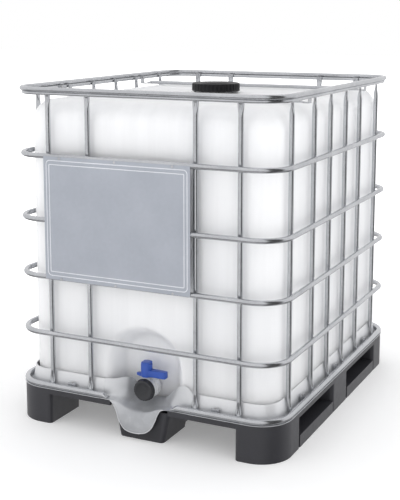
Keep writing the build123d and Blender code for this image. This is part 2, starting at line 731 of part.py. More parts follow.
# ---- bottle --------------------------------------------------------------------------------------
def bottle_form(inset):
    """The blown body without neck or outlet, drawn inward by inset."""
    with BuildPart() as form:
        with BuildSketch(Plane.XY.offset(BOTTLE_BOTTOM + inset)):
            RectangleRounded(2 * (BOTTLE_X - inset), 2 * (BOTTLE_Y - inset), BOTTLE_R - inset)
        extrude(amount=BOTTLE_TOP - BOTTLE_BOTTOM - 2 * inset)
        fillet(form.faces().sort_by(Axis.Z)[-1].edges(), SHOULDER_R - inset)
        fillet(form.faces().sort_by(Axis.Z)[0].edges(), HEEL_R - inset)
        half = RECESS_HALF + inset
        arch_z = RECESS_TOP - RECESS_HALF
        with BuildSketch(Plane.XZ.offset(OUTLET_FACE - inset)):
            with Locations((0, arch_z)):
                Circle(half)
            with Locations((0, arch_z / 2)):
                Rectangle(2 * half, arch_z)
        extrude(amount=2 * RECESS_DEPTH, mode=Mode.SUBTRACT)
    return form.part


outer_form = bottle_form(0)
inner_form = bottle_form(BOTTLE_WALL)

with BuildPart() as bottle:
    add(outer_form)
    with BuildSketch(Plane.XY.offset(BOTTLE_TOP - 2 * BOTTLE_WALL)):
        Circle(NECK_R)
    extrude(amount=NECK_TOP - BOTTLE_TOP + 2 * BOTTLE_WALL)
    for turn in range(3):
        with BuildSketch(Plane.XY.offset(BOTTLE_TOP + 10 + turn * NECK_THREAD_STEP)):
            Circle(NECK_THREAD_R)
        extrude(amount=2.5)
    with BuildSketch(Plane.XZ.offset(OUTLET_FACE - 2 * BOTTLE_WALL)):
        with Locations((0, OUTLET_Z)):
            Circle(SPIGOT_R)
    extrude(amount=SPIGOT_END - OUTLET_FACE + 2 * BOTTLE_WALL)
    add(inner_form, mode=Mode.SUBTRACT)
    with BuildSketch(Plane.XY.offset(BOTTLE_TOP - 4 * BOTTLE_WALL)):
        Circle(NECK_BORE_R)
    extrude(amount=NECK_TOP, mode=Mode.SUBTRACT)
    with BuildSketch(Plane.XZ.offset(OUTLET_FACE - 4 * BOTTLE_WALL)):
        with Locations((0, OUTLET_Z)):
            Circle(OUTLET_BORE_R)
    extrude(amount=SPIGOT_END, mode=Mode.SUBTRACT)

ARCH_Z = RECESS_TOP - RECESS_HALF
RECESS_OUT = RECESS_HALF + BOTTLE_WALL
RECESS_SKY = RECESS_TOP + BOTTLE_WALL
STRAIGHT_X = BOTTLE_X - BOTTLE_R
STRAIGHT_Y = BOTTLE_Y - BOTTLE_R
HEEL_TOP = BOTTLE_BOTTOM + HEEL_R
SHOULDER_FOOT = BOTTLE_TOP - SHOULDER_R
FLOOR_CUT = BOTTLE_BOTTOM + BOTTLE_WALL + 1.0
COLLAR = 90.0
SPIGOT_CELL = 40.0
corner_cuts = across_x(-STRAIGHT_X, STRAIGHT_X) + across_y(STRAIGHT_Y) + across_z(HEEL_TOP, SHOULDER_FOOT)
outlet_sectors = sectors(Plane.XZ, (0, 0, OUTLET_Z), 8)
neck_sectors = sectors(Plane.XY, (0, 0, 0), 8)
arch_sectors = sectors(Plane.XZ, (0, 0, ARCH_Z), 12)


def recess_pieces(column):
    """The outlet recess: floor strip, side walls, arch, back panel and spigot as near-convex pieces."""
    done = []
    for layer in divided([column], across_z(FLOOR_CUT, ARCH_Z)):
        level = layer.bounding_box().center().Z
        if level < FLOOR_CUT:
            done.append(layer)
        elif level > ARCH_Z:
            for slab in divided([layer], across_y(BOTTLE_WALL - BOTTLE_Y, -OUTLET_FACE)):
                behind = slab.bounding_box().center().Y > -OUTLET_FACE
                done += [slab] if behind else divided([slab], arch_sectors)
        else:
            for slab in divided([layer], across_x(-RECESS_HALF, RECESS_HALF)):
                if abs(slab.bounding_box().center().X) > RECESS_HALF:
                    done.append(slab)
                    continue
                cell_cuts = across_x(-SPIGOT_CELL, SPIGOT_CELL) + across_z(OUTLET_Z + SPIGOT_CELL)
                for cell in divided([slab], across_y(-OUTLET_FACE) + cell_cuts):
                    low = (-SPIGOT_CELL, -SPIGOT_END, 0)
                    high = (SPIGOT_CELL, 0, OUTLET_Z + SPIGOT_CELL)
                    near_spigot = middle_within(cell, low, high)
                    done += divided([cell], outlet_sectors) if near_spigot else [cell]
    return done


bottle_solids = []
for half in divided(bottle.part.solids(), across_y(-STRAIGHT_Y)):
    if half.bounding_box().center().Y > -STRAIGHT_Y:
        bottle_solids += divided([half], corner_cuts)
        continue
    for column in divided([half], across_x(-RECESS_OUT, RECESS_OUT)):
        if abs(column.bounding_box().center().X) > RECESS_OUT:
            bottle_solids += divided([column], corner_cuts)
            continue
        for block in divided([column], across_z(RECESS_SKY)):
            below = block.bounding_box().center().Z < RECESS_SKY
            bottle_solids += recess_pieces(block) if below else divided([block], across_z(SHOULDER_FOOT))

collar_solids = []
for panel in bottle_solids:
    if not middle_within(panel, (-1, -1, SHOULDER_FOOT), (1, 1, NECK_TOP)):
        collar_solids.append(panel)
        continue
    for cell in divided([panel], across_x(-COLLAR, COLLAR) + across_y(-COLLAR, COLLAR)):
        if middle_within(cell, (-COLLAR, -COLLAR, SHOULDER_FOOT), (COLLAR, COLLAR, NECK_TOP)):
            collar_solids += divided([cell], across_z(BOTTLE_TOP) + neck_sectors)
        else:
            collar_solids.append(cell)
write_solids(collar_solids, "bottle")

# ---- lid -----------------------------------------------------------------------------------------
with BuildPart() as lid:
    with BuildSketch(Plane.XY.offset(LID_BOTTOM)):
        Circle(LID_R)
    extrude(amount=LID_TOP - LID_BOTTOM - 2)
    fillet(lid.faces().sort_by(Axis.Z)[-1].edges(), 3)
    with BuildSketch(Plane.XY.offset(LID_TOP - LID_PANEL_T)):
        Circle(LID_PANEL_R)
    extrude(amount=LID_PANEL_T)
    with BuildSketch(Plane.XY.offset(LID_BOTTOM)):
        Circle(LID_BORE_R)
    extrude(amount=LID_TOP - LID_ROOF - LID_BOTTOM, mode=Mode.SUBTRACT)
    with BuildSketch(Plane.XY.offset(LID_BOTTOM)):
        with PolarLocations(LID_R + LID_GRIP_OUT, LID_GRIPS):
            Circle(LID_GRIP_R)
    extrude(amount=LID_TOP - LID_BOTTOM - 8, mode=Mode.SUBTRACT)
save(lid, "lid")

with BuildPart() as lid_seal:
    with BuildSketch(Plane.XY.offset(NECK_TOP)):
        Circle(NECK_R + 2)
        Circle(NECK_BORE_R - 4, mode=Mode.SUBTRACT)
    extrude(amount=LID_SEAL_T)
save(lid_seal, "lid_seal")


# ---- outlet valve --------------------------------------------------------------------------------
def outlet_ring(start, end, outer_r, inner_r=0.0):
    """Disc or ring about the outlet axis, between two distances in front of the origin."""
    with BuildPart() as ring:
        with BuildSketch(Plane.XZ.offset(start)):
            with Locations((0, OUTLET_Z)):
                Circle(outer_r)
                if inner_r:
                    Circle(inner_r, mode=Mode.SUBTRACT)
        extrude(amount=end - start)
    return ring.part


def stem_rod(low, high, radius):
    """Cylinder about the stem axis between two heights."""
    with BuildPart() as rod:
        with BuildSketch(Plane.XY.offset(low)):
            with Locations((0, -STEM_Y)):
                Circle(radius)
        extrude(amount=high - low)
    return rod.part


with BuildPart() as outlet_gasket:
    add(outlet_ring(SPIGOT_END, BODY_BACK, SPIGOT_R, OUTLET_BORE_R))
save(outlet_gasket, "outlet_gasket")

with BuildPart() as union_nut:
    add(outlet_ring(NUT_BACK, NUT_FRONT, NUT_R - 1.5))
    with BuildSketch(Plane.XZ.offset(NUT_BACK)):
        with Locations((0, OUTLET_Z)):
            with PolarLocations(NUT_R - 2.0, NUT_RIBS):
                Circle(2.0)
    extrude(amount=NUT_FRONT - NUT_BACK)
    add(outlet_ring(NUT_BACK, BODY_BACK - 3, SPIGOT_R + 0.1), mode=Mode.SUBTRACT)
    add(outlet_ring(BODY_BACK - 3, BODY_BACK + BODY_FLANGE_T, BODY_FLANGE_R + 0.1), mode=Mode.SUBTRACT)
    add(outlet_ring(BODY_BACK, NUT_FRONT, BODY_R + 0.2), mode=Mode.SUBTRACT)
save(union_nut, "union_nut")

with BuildPart() as valve_body:
    add(outlet_ring(BODY_BACK, BODY_BACK + BODY_FLANGE_T, BODY_FLANGE_R))
    add(outlet_ring(BODY_BACK, OUTLET_THREAD_BACK, BODY_R))
    add(outlet_ring(OUTLET_THREAD_BACK, BODY_END, OUTLET_THREAD_R - 1.2))
    for crest in OUTLET_THREAD_CRESTS:
        add(outlet_ring(crest, crest + 2.0, OUTLET_THREAD_R))
    add(stem_rod(OUTLET_Z, STEM_BOSS_TOP - 2, STEM_BOSS_R))
    add(stem_rod(STEM_BOSS_TOP - 2, STEM_BOSS_TOP, STEM_BOSS_R - 1.5))
    add(outlet_ring(BODY_BACK, BODY_END, OUTLET_BORE_R), mode=Mode.SUBTRACT)
    add(stem_rod(OUTLET_Z + OUTLET_BORE_R - 2, STEM_BOSS_TOP, STEM_R + 0.1), mode=Mode.SUBTRACT)
save(valve_body, "valve_body")

with BuildPart() as valve_seat:
    add(outlet_ring(STEM_Y - SEAT_HALF, STEM_Y + SEAT_HALF, OUTLET_BORE_R, SEAT_BORE_R))
    add(stem_rod(OUTLET_Z - 40, OUTLET_Z + 40, STEM_R + 0.3), mode=Mode.SUBTRACT)
save(valve_seat, "valve_seat")

with BuildPart() as valve_disc:
    add(outlet_ring(STEM_Y - DISC_T / 2, STEM_Y + DISC_T / 2, DISC_R))
    add(stem_rod(OUTLET_Z - 20, OUTLET_Z + 20, STEM_R - 0.5))
    with BuildSketch(Plane.XY.offset(OUTLET_Z)):
        with Locations((0, -STEM_Y)):
            Rectangle(STEM_KEY, STEM_KEY)
    extrude(amount=30, mode=Mode.SUBTRACT)
save(valve_disc, "valve_disc")

with BuildPart() as valve_stem:
    with BuildSketch(Plane.XY.offset(OUTLET_Z)):
        with Locations((0, -STEM_Y)):
            Rectangle(STEM_KEY, STEM_KEY)
    extrude(amount=30)
    add(stem_rod(OUTLET_Z + DISC_R + 0.4, STEM_TOP, STEM_R))
    for groove in O_RING_HEIGHTS:
        add(stem_rod(groove, groove + O_RING_T, STEM_R + 1), mode=Mode.SUBTRACT)
        add(stem_rod(groove, groove + O_RING_T, STEM_R - O_RING_DEPTH))
    add(stem_rod(STEM_TOP - 12, STEM_TOP, 1.5), mode=Mode.SUBTRACT)
save(valve_stem, "valve_stem")

with BuildPart() as stem_o_rings:
    for groove in O_RING_HEIGHTS:
        add(stem_rod(groove, groove + O_RING_T, STEM_R))
        add(stem_rod(groove, groove + O_RING_T, STEM_R - O_RING_DEPTH), mode=Mode.SUBTRACT)
save(stem_o_rings, "stem_o_rings")

with BuildPart() as valve_handle:
    add(stem_rod(HUB_BOTTOM, HUB_TOP, HUB_R))
    fillet(valve_handle.faces().sort_by(Axis.Z)[-1].edges(), 2.5)
    with BuildSketch(Plane.XY.offset(HUB_BOTTOM + 2)):
        with BuildLine():
            Polyline((-ARM_SHORT, -STEM_Y - 3), (-10, -STEM_Y - ARM_W), (ARM_LONG - 2, -STEM_Y - ARM_W / 2),
                     (ARM_LONG, -STEM_Y), (ARM_LONG - 2, -STEM_Y + ARM_W / 2), (-10, -STEM_Y + ARM_W),
                     (-ARM_SHORT, -STEM_Y + 3), close=True)
        make_face()
    extrude(amount=ARM_H)
    add(stem_rod(HUB_BOTTOM, STEM_TOP, STEM_R), mode=Mode.SUBTRACT)
    add(stem_rod(STEM_TOP, HUB_TOP, 1.7), mode=Mode.SUBTRACT)
    add(stem_rod(HUB_TOP - 3, HUB_TOP, 4.5), mode=Mode.SUBTRACT)
save(valve_handle, "valve_handle")

with BuildPart() as handle_screw:
    add(stem_rod(HUB_TOP - 3, HUB_TOP - 0.5, 4.2))
    add(stem_rod(STEM_TOP - 10, HUB_TOP - 3, 1.5))
save(handle_screw, "handle_screw")

# ---- outlet cap ----------------------------------------------------------------------------------
with BuildPart() as cap_skirt:
    with BuildSketch(Plane.XZ.offset(CAP_BACK)):
        with Locations((0, OUTLET_Z)):
            Circle(CAP_R)
    extrude(amount=CAP_SKIRT)
with BuildPart() as cap_crown:
    with BuildSketch(Plane.XZ.offset(CAP_BACK + CAP_SKIRT)):
        with Locations((0, OUTLET_Z)):
            Circle(CAP_R)
    with BuildSketch(Plane.XZ.offset(CAP_FACE)):
        with Locations((0, OUTLET_Z)):
            Circle(CAP_FACE_R)
    loft()

with BuildPart() as outlet_cap:
    add(cap_skirt.part)
    add(cap_crown.part)
    add(outlet_ring(CAP_BACK - 1, CAP_FACE - CAP_FACE_T, CAP_BORE_R), mode=Mode.SUBTRACT)
save(outlet_cap, "outlet_cap")

with BuildPart() as cap_seal:
    add(outlet_ring(BODY_END, CAP_FACE - CAP_FACE_T, OUTLET_THREAD_R, OUTLET_BORE_R - 1.5))
save(cap_seal, "cap_seal")
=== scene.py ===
"""Looks of the intermediate bulk container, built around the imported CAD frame. Metres."""

import json
import math

import bpy
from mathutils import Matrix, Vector, noise


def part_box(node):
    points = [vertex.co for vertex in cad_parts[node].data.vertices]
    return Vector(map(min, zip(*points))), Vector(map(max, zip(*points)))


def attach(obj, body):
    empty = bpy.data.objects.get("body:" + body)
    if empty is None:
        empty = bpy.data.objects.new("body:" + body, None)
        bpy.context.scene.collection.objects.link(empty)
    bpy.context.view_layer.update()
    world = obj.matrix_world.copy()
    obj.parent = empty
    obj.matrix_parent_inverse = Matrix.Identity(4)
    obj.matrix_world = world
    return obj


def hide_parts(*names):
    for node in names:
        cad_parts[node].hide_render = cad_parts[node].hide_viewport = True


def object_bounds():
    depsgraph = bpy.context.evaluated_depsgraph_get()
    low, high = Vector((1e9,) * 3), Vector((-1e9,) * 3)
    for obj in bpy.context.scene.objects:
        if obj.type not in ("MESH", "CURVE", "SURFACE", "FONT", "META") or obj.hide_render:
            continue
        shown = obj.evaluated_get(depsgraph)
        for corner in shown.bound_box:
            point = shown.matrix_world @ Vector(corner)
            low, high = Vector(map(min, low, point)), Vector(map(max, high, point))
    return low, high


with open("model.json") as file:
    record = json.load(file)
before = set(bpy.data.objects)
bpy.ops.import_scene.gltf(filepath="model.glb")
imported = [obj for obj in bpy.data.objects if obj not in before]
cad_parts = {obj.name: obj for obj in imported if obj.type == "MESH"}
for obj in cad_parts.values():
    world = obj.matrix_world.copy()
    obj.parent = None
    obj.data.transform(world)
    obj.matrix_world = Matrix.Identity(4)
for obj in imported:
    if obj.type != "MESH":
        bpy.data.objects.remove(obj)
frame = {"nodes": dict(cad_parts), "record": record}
cad_box = [list(map(float, corner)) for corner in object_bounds()]

# ---- sizes, from the frame ------------------------------------------------------------------
BODY = "container"
HALF_X, HALF_Y, TOP = cad_box[1]
RING_NAMES = ["ring_1", "ring_2", "ring_3", "ring_4"]
RING_LOW = [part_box(name)[0] for name in RING_NAMES]
RING_HIGH = [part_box(name)[1] for name in RING_NAMES]
RING_Z = [(low[2] + high[2]) / 2 for low, high in zip(RING_LOW, RING_HIGH)]
RING_R = (RING_HIGH[0][2] - RING_LOW[0][2]) / 2
RING_X = RING_HIGH[0][0] - RING_R
RING_Y = RING_HIGH[0][1] - RING_R
RING_CORNER = 0.100
BASE_R = 0.010
BASE_Z = (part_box("base_ring")[0][2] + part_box("base_ring")[1][2]) / 2
FLANGE_Z = BASE_Z - BASE_R
OUTLET_Z = (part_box("outlet_cap")[0][2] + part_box("outlet_cap")[1][2]) / 2
STEM_Y = (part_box("valve_stem")[0][1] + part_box("valve_stem")[1][1]) / 2


# ---- materials --------------------------------------------------------------------------------
class Nodes:
    """Short-hand for building one material's node tree."""

    def __init__(self, name):
        self.material = bpy.data.materials.new(name)
        self.material.use_nodes = True
        self.tree = self.material.node_tree
        self.shader = self.tree.nodes["Principled BSDF"]
        self.where = self.tree.nodes.new("ShaderNodeTexCoord").outputs["Object"]

    def set(self, **values):
        for key, value in values.items():
            self.shader.inputs[key.replace("_", " ")].default_value = value
        return self

    def stretch(self, scale):
        """Object coordinates scaled by a vector."""
        mapping = self.tree.nodes.new("ShaderNodeMapping")
        mapping.inputs["Scale"].default_value = scale
        self.tree.links.new(self.where, mapping.inputs["Vector"])
        return mapping.outputs["Vector"]

    def noise(self, scale, detail=3.0, rough=0.55, vector=None):
        node = self.tree.nodes.new("ShaderNodeTexNoise")
        node.inputs["Scale"].default_value = scale
        node.inputs["Detail"].default_value = detail
        node.inputs["Roughness"].default_value = rough
        self.tree.links.new(vector or self.where, node.inputs["Vector"])
        return node.outputs["Fac"]

    def cells(self, scale, vector=None):
        node = self.tree.nodes.new("ShaderNodeTexVoronoi")
        node.inputs["Scale"].default_value = scale
        self.tree.links.new(vector or self.where, node.inputs["Vector"])
        return node.outputs["Color"]

    def ramp(self, source, stops):
        node = self.tree.nodes.new("ShaderNodeValToRGB")
        while len(node.color_ramp.elements) < len(stops):
            node.color_ramp.elements.new(0.5)
        for element, (place, shade) in zip(node.color_ramp.elements, stops):
            element.position = place
            element.color = (*shade, 1.0) if isinstance(shade, tuple) else (shade, shade, shade, 1.0)
        self.tree.links.new(source, node.inputs["Fac"])
        return node.outputs["Color"]

    def mix(self, a, b, amount, mode="MIX"):
        node = self.tree.nodes.new("ShaderNodeMix")
        node.data_type = "RGBA"
        node.blend_type = mode
        for socket, value in ((node.inputs["A"], a), (node.inputs["B"], b), (node.inputs["Factor"], amount)):
            if isinstance(value, bpy.types.NodeSocket):
                self.tree.links.new(value, socket)
            elif isinstance(value, tuple):
                socket.default_value = (*value, 1.0)
            else:
                socket.default_value = value
        return node.outputs["Result"]

    def spread(self, source, low, high):
        """Map a 0 to 1 value onto a range."""
        node = self.tree.nodes.new("ShaderNodeMapRange")
        node.inputs["To Min"].default_value = low
        node.inputs["To Max"].default_value = high
        self.tree.links.new(source, node.inputs["Value"])
        return node.outputs["Result"]

    def height(self):
        """Height above the floor in metres."""
        node = self.tree.nodes.new("ShaderNodeSeparateXYZ")
        self.tree.links.new(self.where, node.inputs["Vector"])
        return node.outputs["Z"]

    def away(self, middle):
        """Distance to either side of a middle line, in metres along X."""
        node = self.tree.nodes.new("ShaderNodeSeparateXYZ")
        self.tree.links.new(self.where, node.inputs["Vector"])
        shift = self.tree.nodes.new("ShaderNodeMath")
        shift.operation = "SUBTRACT"
        shift.inputs[1].default_value = middle
        self.tree.links.new(node.outputs["X"], shift.inputs[0])
        size = self.tree.nodes.new("ShaderNodeMath")
        size.operation = "ABSOLUTE"
        self.tree.links.new(shift.outputs["Value"], size.inputs[0])
        return size.outputs["Value"]

    def edges(self):
        """Bright where the surface is convex."""
        node = self.tree.nodes.new("ShaderNodeNewGeometry")
        return node.outputs["Pointiness"]

    def bump(self, source, strength, distance, under=None):
        node = self.tree.nodes.new("ShaderNodeBump")
        node.inputs["Strength"].default_value = strength
        node.inputs["Distance"].default_value = distance
        self.tree.links.new(source, node.inputs["Height"])
        if under:
            self.tree.links.new(under, node.inputs["Normal"])
        self.tree.links.new(node.outputs["Normal"], self.shader.inputs["Normal"])
        return node.outputs["Normal"]

    def link(self, source, name):
        self.tree.links.new(source, self.shader.inputs[name])
        return self


def galvanised(name, dark, light, spangle, metallic, low_rough, high_rough, mottle=0.3, shine=0.25,
               painted_light_fade=None, sides=None):
    """Zinc coat: faint spangle cells, cloudy greys, pale oxide bloom and fine grain.

    painted_light_fade is a pair of heights (m) between which it pales, a painted highlight towards the top;
    sides is a middle line and two distances from it, between which it pales outward, leaving painted shade in
    the middle and a painted highlight at the sides.
    """
    n = Nodes(name).set(Metallic=metallic)
    grey = n.ramp(n.noise(7.0, 4.0), [(0.32, dark), (0.68, light)])
    crystal = n.ramp(n.cells(spangle), [(0.15, 0.82), (0.85, 1.10)])
    grey = n.mix(grey, crystal, mottle, "MULTIPLY")
    bloom = n.ramp(n.noise(34.0, 6.0, 0.7), [(0.58, 0.0), (0.74, 1.0)])
    grey = n.mix(grey, tuple(min(1.0, c * 1.15) for c in light), n.spread(bloom, 0.0, shine))
    # painted highlight: paler towards the top, between the two heights
    if painted_light_fade:
        grey = n.mix(grey, (0.84, 0.845, 0.855), n.ramp(n.height(), [(painted_light_fade[0], 0.0), (painted_light_fade[1], 0.70)]))
    # painted shade and highlight: full darkness near the middle line, paling to a lighter grey between the
    # two distances
    if sides:
        grey = n.mix(grey, (0.74, 0.75, 0.765), n.ramp(n.away(sides[0]), [(sides[1], 0.0), (sides[2], 0.95)]))
    n.link(grey, "Base Color")
    n.link(n.spread(n.noise(60.0, 5.0), low_rough, high_rough), "Roughness")
    coarse = n.bump(n.noise(55.0, 3.0), 0.06, 0.0012)
    n.bump(n.noise(420.0, 2.0), 0.10, 0.0003, coarse)
    return n.material


def moulded(name, base, lift, rough, grain, grain_depth, scuff=0.2, **values):
    """Moulded plastic: slow shade drift, fine mould grain, rubbed edges and dusty scuffs."""
    n = Nodes(name).set(**values)
    drift = n.ramp(n.noise(5.0, 3.0), [(0.3, base), (0.7, lift)])
    rub = n.ramp(n.edges(), [(0.50, 0.0), (0.58, 1.0)])
    shade = n.mix(drift, tuple(min(1.0, c * 1.6 + 0.02) for c in lift), n.spread(rub, 0.0, scuff))
    marks = n.ramp(n.noise(14.0, 8.0, 0.75, n.stretch((1.0, 1.0, 4.0))), [(0.60, 0.0), (0.72, 1.0)])
    shade = n.mix(shade, tuple(min(1.0, c * 1.35 + 0.015) for c in lift), n.spread(marks, 0.0, scuff))
    n.link(shade, "Base Color")
    n.link(n.spread(n.noise(40.0, 5.0), rough - 0.07, rough + 0.10), "Roughness")
    n.bump(n.noise(grain, 3.0), 0.35, grain_depth)
    return n.material


TUBE = galvanised("galvanised_tube", (0.50, 0.51, 0.53), (0.62, 0.63, 0.65), 120.0, 0.96, 0.17, 0.27,
                  mottle=0.18, shine=0.2)
# the tray sheet pales towards the top of its wall: a painted highlight
SHEET_STEEL = galvanised("galvanised_sheet", (0.62, 0.63, 0.65), (0.72, 0.73, 0.75), 60.0, 0.25, 0.28, 0.42,
                         mottle=0.14, shine=0.3, painted_light_fade=(0.134, 0.178))
# darker copy of the tray sheet for the funnel: painted shade in its valley, and a painted highlight that
# pales it towards the humps
FUNNEL_PAINTED_SHADE_STEEL = galvanised("tray_funnel_painted_shade_and_highlight", (0.36, 0.37, 0.39), (0.56, 0.57, 0.59), 45.0, 0.40, 0.24, 0.38,
                       mottle=0.25, shine=0.4, sides=(0.017, 0.075, 0.160))
LABEL_STEEL = galvanised("label_sheet", (0.355, 0.378, 0.425), (0.390, 0.413, 0.462), 90.0, 0.15, 0.42, 0.54,
                         mottle=0.10, shine=0.1)
# paler copy of the label sheet for the creases: a painted highlight along the pressed lines
LABEL_CREASE_HIGHLIGHT = galvanised("label_crease_painted_highlight", (0.70, 0.72, 0.76), (0.80, 0.82, 0.86), 90.0, 0.35, 0.30, 0.42,
                          mottle=0.15, shine=0.2)
FASTENER = galvanised("zinc_fasteners", (0.45, 0.45, 0.46), (0.62, 0.62, 0.63), 260.0, 0.9, 0.25, 0.42)
PALLET = moulded("pallet_plastic", (0.020, 0.020, 0.024), (0.032, 0.032, 0.038), 0.40, 900.0, 0.0003, 0.25)
BLACK_LID = moulded("lid_plastic", (0.008, 0.008, 0.009), (0.014, 0.014, 0.016), 0.42, 1200.0, 0.0002,
                   Specular_IOR_Level=0.25)
CAP = moulded("cap_plastic", (0.020, 0.021, 0.024), (0.032, 0.033, 0.037), 0.45, 1400.0, 0.0002)
RUBBER = moulded("seal_rubber", (0.015, 0.015, 0.015), (0.025, 0.025, 0.025), 0.62, 1500.0, 0.0002, 0.1)
BLUE = moulded("handle_plastic", (0.020, 0.070, 0.36), (0.030, 0.095, 0.44), 0.34, 900.0, 0.0002, 0.12)
WHITE_VALVE = moulded("valve_plastic", (0.74, 0.75, 0.76), (0.82, 0.83, 0.84), 0.36, 700.0, 0.0002, 0.05)


def bottle_plastic():
    """Natural white polyethylene: waxy skin, slow thickness clouds, orange peel and faint flow lines."""
    n = Nodes("bottle_plastic").set(IOR=1.52, Subsurface_Weight=0.90, Subsurface_Scale=0.10)
    n.shader.inputs["Subsurface Radius"].default_value = (1.0, 1.0, 1.0)
    clouds = n.ramp(n.noise(3.2, 4.0), [(0.3, (0.835, 0.842, 0.855)), (0.7, (0.880, 0.884, 0.892))])
    flow = n.ramp(n.noise(26.0, 4.0, 0.6, n.stretch((1.0, 1.0, 0.06))), [(0.42, 0.965), (0.60, 1.0)])
    shade = n.mix(clouds, flow, 0.8, "MULTIPLY")
    specks = n.ramp(n.noise(160.0, 2.0), [(0.70, 0.0), (0.78, 1.0)])
    shade = n.mix(shade, (0.66, 0.67, 0.69), n.spread(specks, 0.0, 0.25))
    n.link(shade, "Base Color")
    n.link(n.spread(n.noise(18.0, 5.0), 0.30, 0.44), "Roughness")
    peel = n.bump(n.noise(90.0, 3.0), 0.10, 0.0015)
    n.bump(n.noise(9.0, 2.0), 0.14, 0.010, peel)
    return n.material


BOTTLE = bottle_plastic()

SLOT_MATERIALS = {"galvanised_tube": TUBE, "galvanised_sheet": SHEET_STEEL, "label_sheet": LABEL_STEEL,
                  "zinc_fasteners": FASTENER, "pallet_plastic": PALLET, "lid_plastic": BLACK_LID,
                  "cap_plastic": CAP, "seal_rubber": RUBBER, "handle_plastic": BLUE,
                  "valve_plastic": WHITE_VALVE, "bottle_plastic": BOTTLE}
slot_of = {part["node"]: part["material_slot"] for part in frame["record"]["subparts"]}
for node_name, node in frame["nodes"].items():
    node.data.materials.clear()
    node.data.materials.append(SLOT_MATERIALS[slot_of[node_name]])


# ---- mesh helpers -------------------------------------------------------------------------------
def smooth(t):
    """Soft step from 0 to 1."""
    t = max(0.0, min(1.0, t))
    return t * t * (3 - 2 * t)


def piece(name, vertices, faces, node, body=BODY, soft=True):
    """Mesh piece that stands for a CAD node and rides on its body."""
    mesh = bpy.data.meshes.new(name)
    mesh.from_pydata([tuple(v) for v in vertices], [], faces)
    mesh.validate()
    mesh.update()
    made = bpy.data.objects.new(name, mesh)
    bpy.context.scene.collection.objects.link(made)
    mesh.materials.append(SLOT_MATERIALS[slot_of[node]])
    for face in mesh.polygons:
        face.use_smooth = soft
    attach(made, body)
    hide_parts(node)
    return made


def tube_faces(rows, across, closed=False, start=0):
    """Quads that join rows of a section; the section itself is a ring."""
    faces = []
    for i in range(rows if closed else rows - 1):
        j = (i + 1) % rows
        for k in range(across):
            m = (k + 1) % across
            faces.append((start + i * across + k, start + i * across + m,
                          start + j * across + m, start + j * across + k))
    return faces


def capped_tube(rows, across, start=0):
    """The same quads with both ends closed."""
    last = start + (rows - 1) * across
    ends = [tuple(reversed(range(start, start + across))), tuple(range(last, last + across))]
    return tube_faces(rows, across, start=start) + ends


def loop_points(half_x, half_y, corner, step):
    """Points round a rounded rectangle from the front's middle towards +X, with outward directions."""
    mid_x = half_x - corner
    mid_y = half_y - corner
    runs = [((0, -half_y), (mid_x, -half_y), (0, -1)), (mid_x, -mid_y, -90),
            ((half_x, -mid_y), (half_x, mid_y), (1, 0)), (mid_x, mid_y, 0),
            ((mid_x, half_y), (-mid_x, half_y), (0, 1)), (-mid_x, mid_y, 90),
            ((-half_x, mid_y), (-half_x, -mid_y), (-1, 0)), (-mid_x, -mid_y, 180),
            ((-mid_x, -half_y), (0, -half_y), (0, -1))]
    points = []
    for run in runs:
        if isinstance(run[0], tuple):
            (x0, y0), (x1, y1), out = run
            count = max(1, round(math.hypot(x1 - x0, y1 - y0) / step))
            points += [(x0 + (x1 - x0) * i / count, y0 + (y1 - y0) * i / count, *out) for i in range(count)]
        else:
            cx, cy, first = run
            count = max(6, round(corner * math.pi / 2 / step))
            for i in range(count):
                angle = math.radians(first + 90 * i / count)
                points.append((cx + corner * math.cos(angle), cy + corner * math.sin(angle),
                               math.cos(angle), math.sin(angle)))
    return points


def circle_section(radius, count=18):
    return [(radius * math.cos(2 * math.pi * i / count), radius * math.sin(2 * math.pi * i / count))
            for i in range(count)]


def rounded_section(width, height, radius, centre=(0.0, 0.0), arc=5):
    """Rounded rectangle outline, anticlockwise from its lower right corner."""
    points = []
    for sx, sy, first in ((1, -1, -90), (1, 1, 0), (-1, 1, 90), (-1, -1, 180)):
        for i in range(arc + 1):
            angle = math.radians(first + 90 * i / arc)
            points.append((centre[0] + sx * (width / 2 - radius) + radius * math.cos(angle),
                           centre[1] + sy * (height / 2 - radius) + radius * math.sin(angle)))
    return points


def thicken(sheet, thickness):
    """Give a sheet its metal thickness behind the drawn face, shaded by its broad faces."""
    solid = sheet.modifiers.new("thickness", "SOLIDIFY")
    solid.thickness = thickness
    solid.offset = -1.0
    normals = sheet.modifiers.new("normals", "WEIGHTED_NORMAL")
    normals.weight = 100


def refinish(made, material):
    """Give a piece a variant of its slot's material; the variants here carry painted light, a paler one on
    the label creases and a darker one on the funnel.
    """
    made.data.materials.clear()
    made.data.materials.append(material)


# ---- camera, floor and light ---------------------------------------------------------------------
EYE = Vector((1.6054, -3.4405, 1.3975))
YAW = 25.89
PITCH = 8.82
LENS = 74.75
SHIFT_Y = -0.15

camera_data = bpy.data.cameras.new("camera")
camera_data.lens = LENS
camera_data.sensor_width = 36.0
camera_data.shift_y = SHIFT_Y
camera_data.clip_end = 60.0
camera = bpy.data.objects.new("camera", camera_data)
camera.location = EYE
camera.rotation_euler = (math.radians(90 - PITCH), 0.0, math.radians(YAW))
bpy.context.scene.collection.objects.link(camera)
bpy.context.scene.camera = camera
bpy.context.scene.view_settings.view_transform = "Standard"


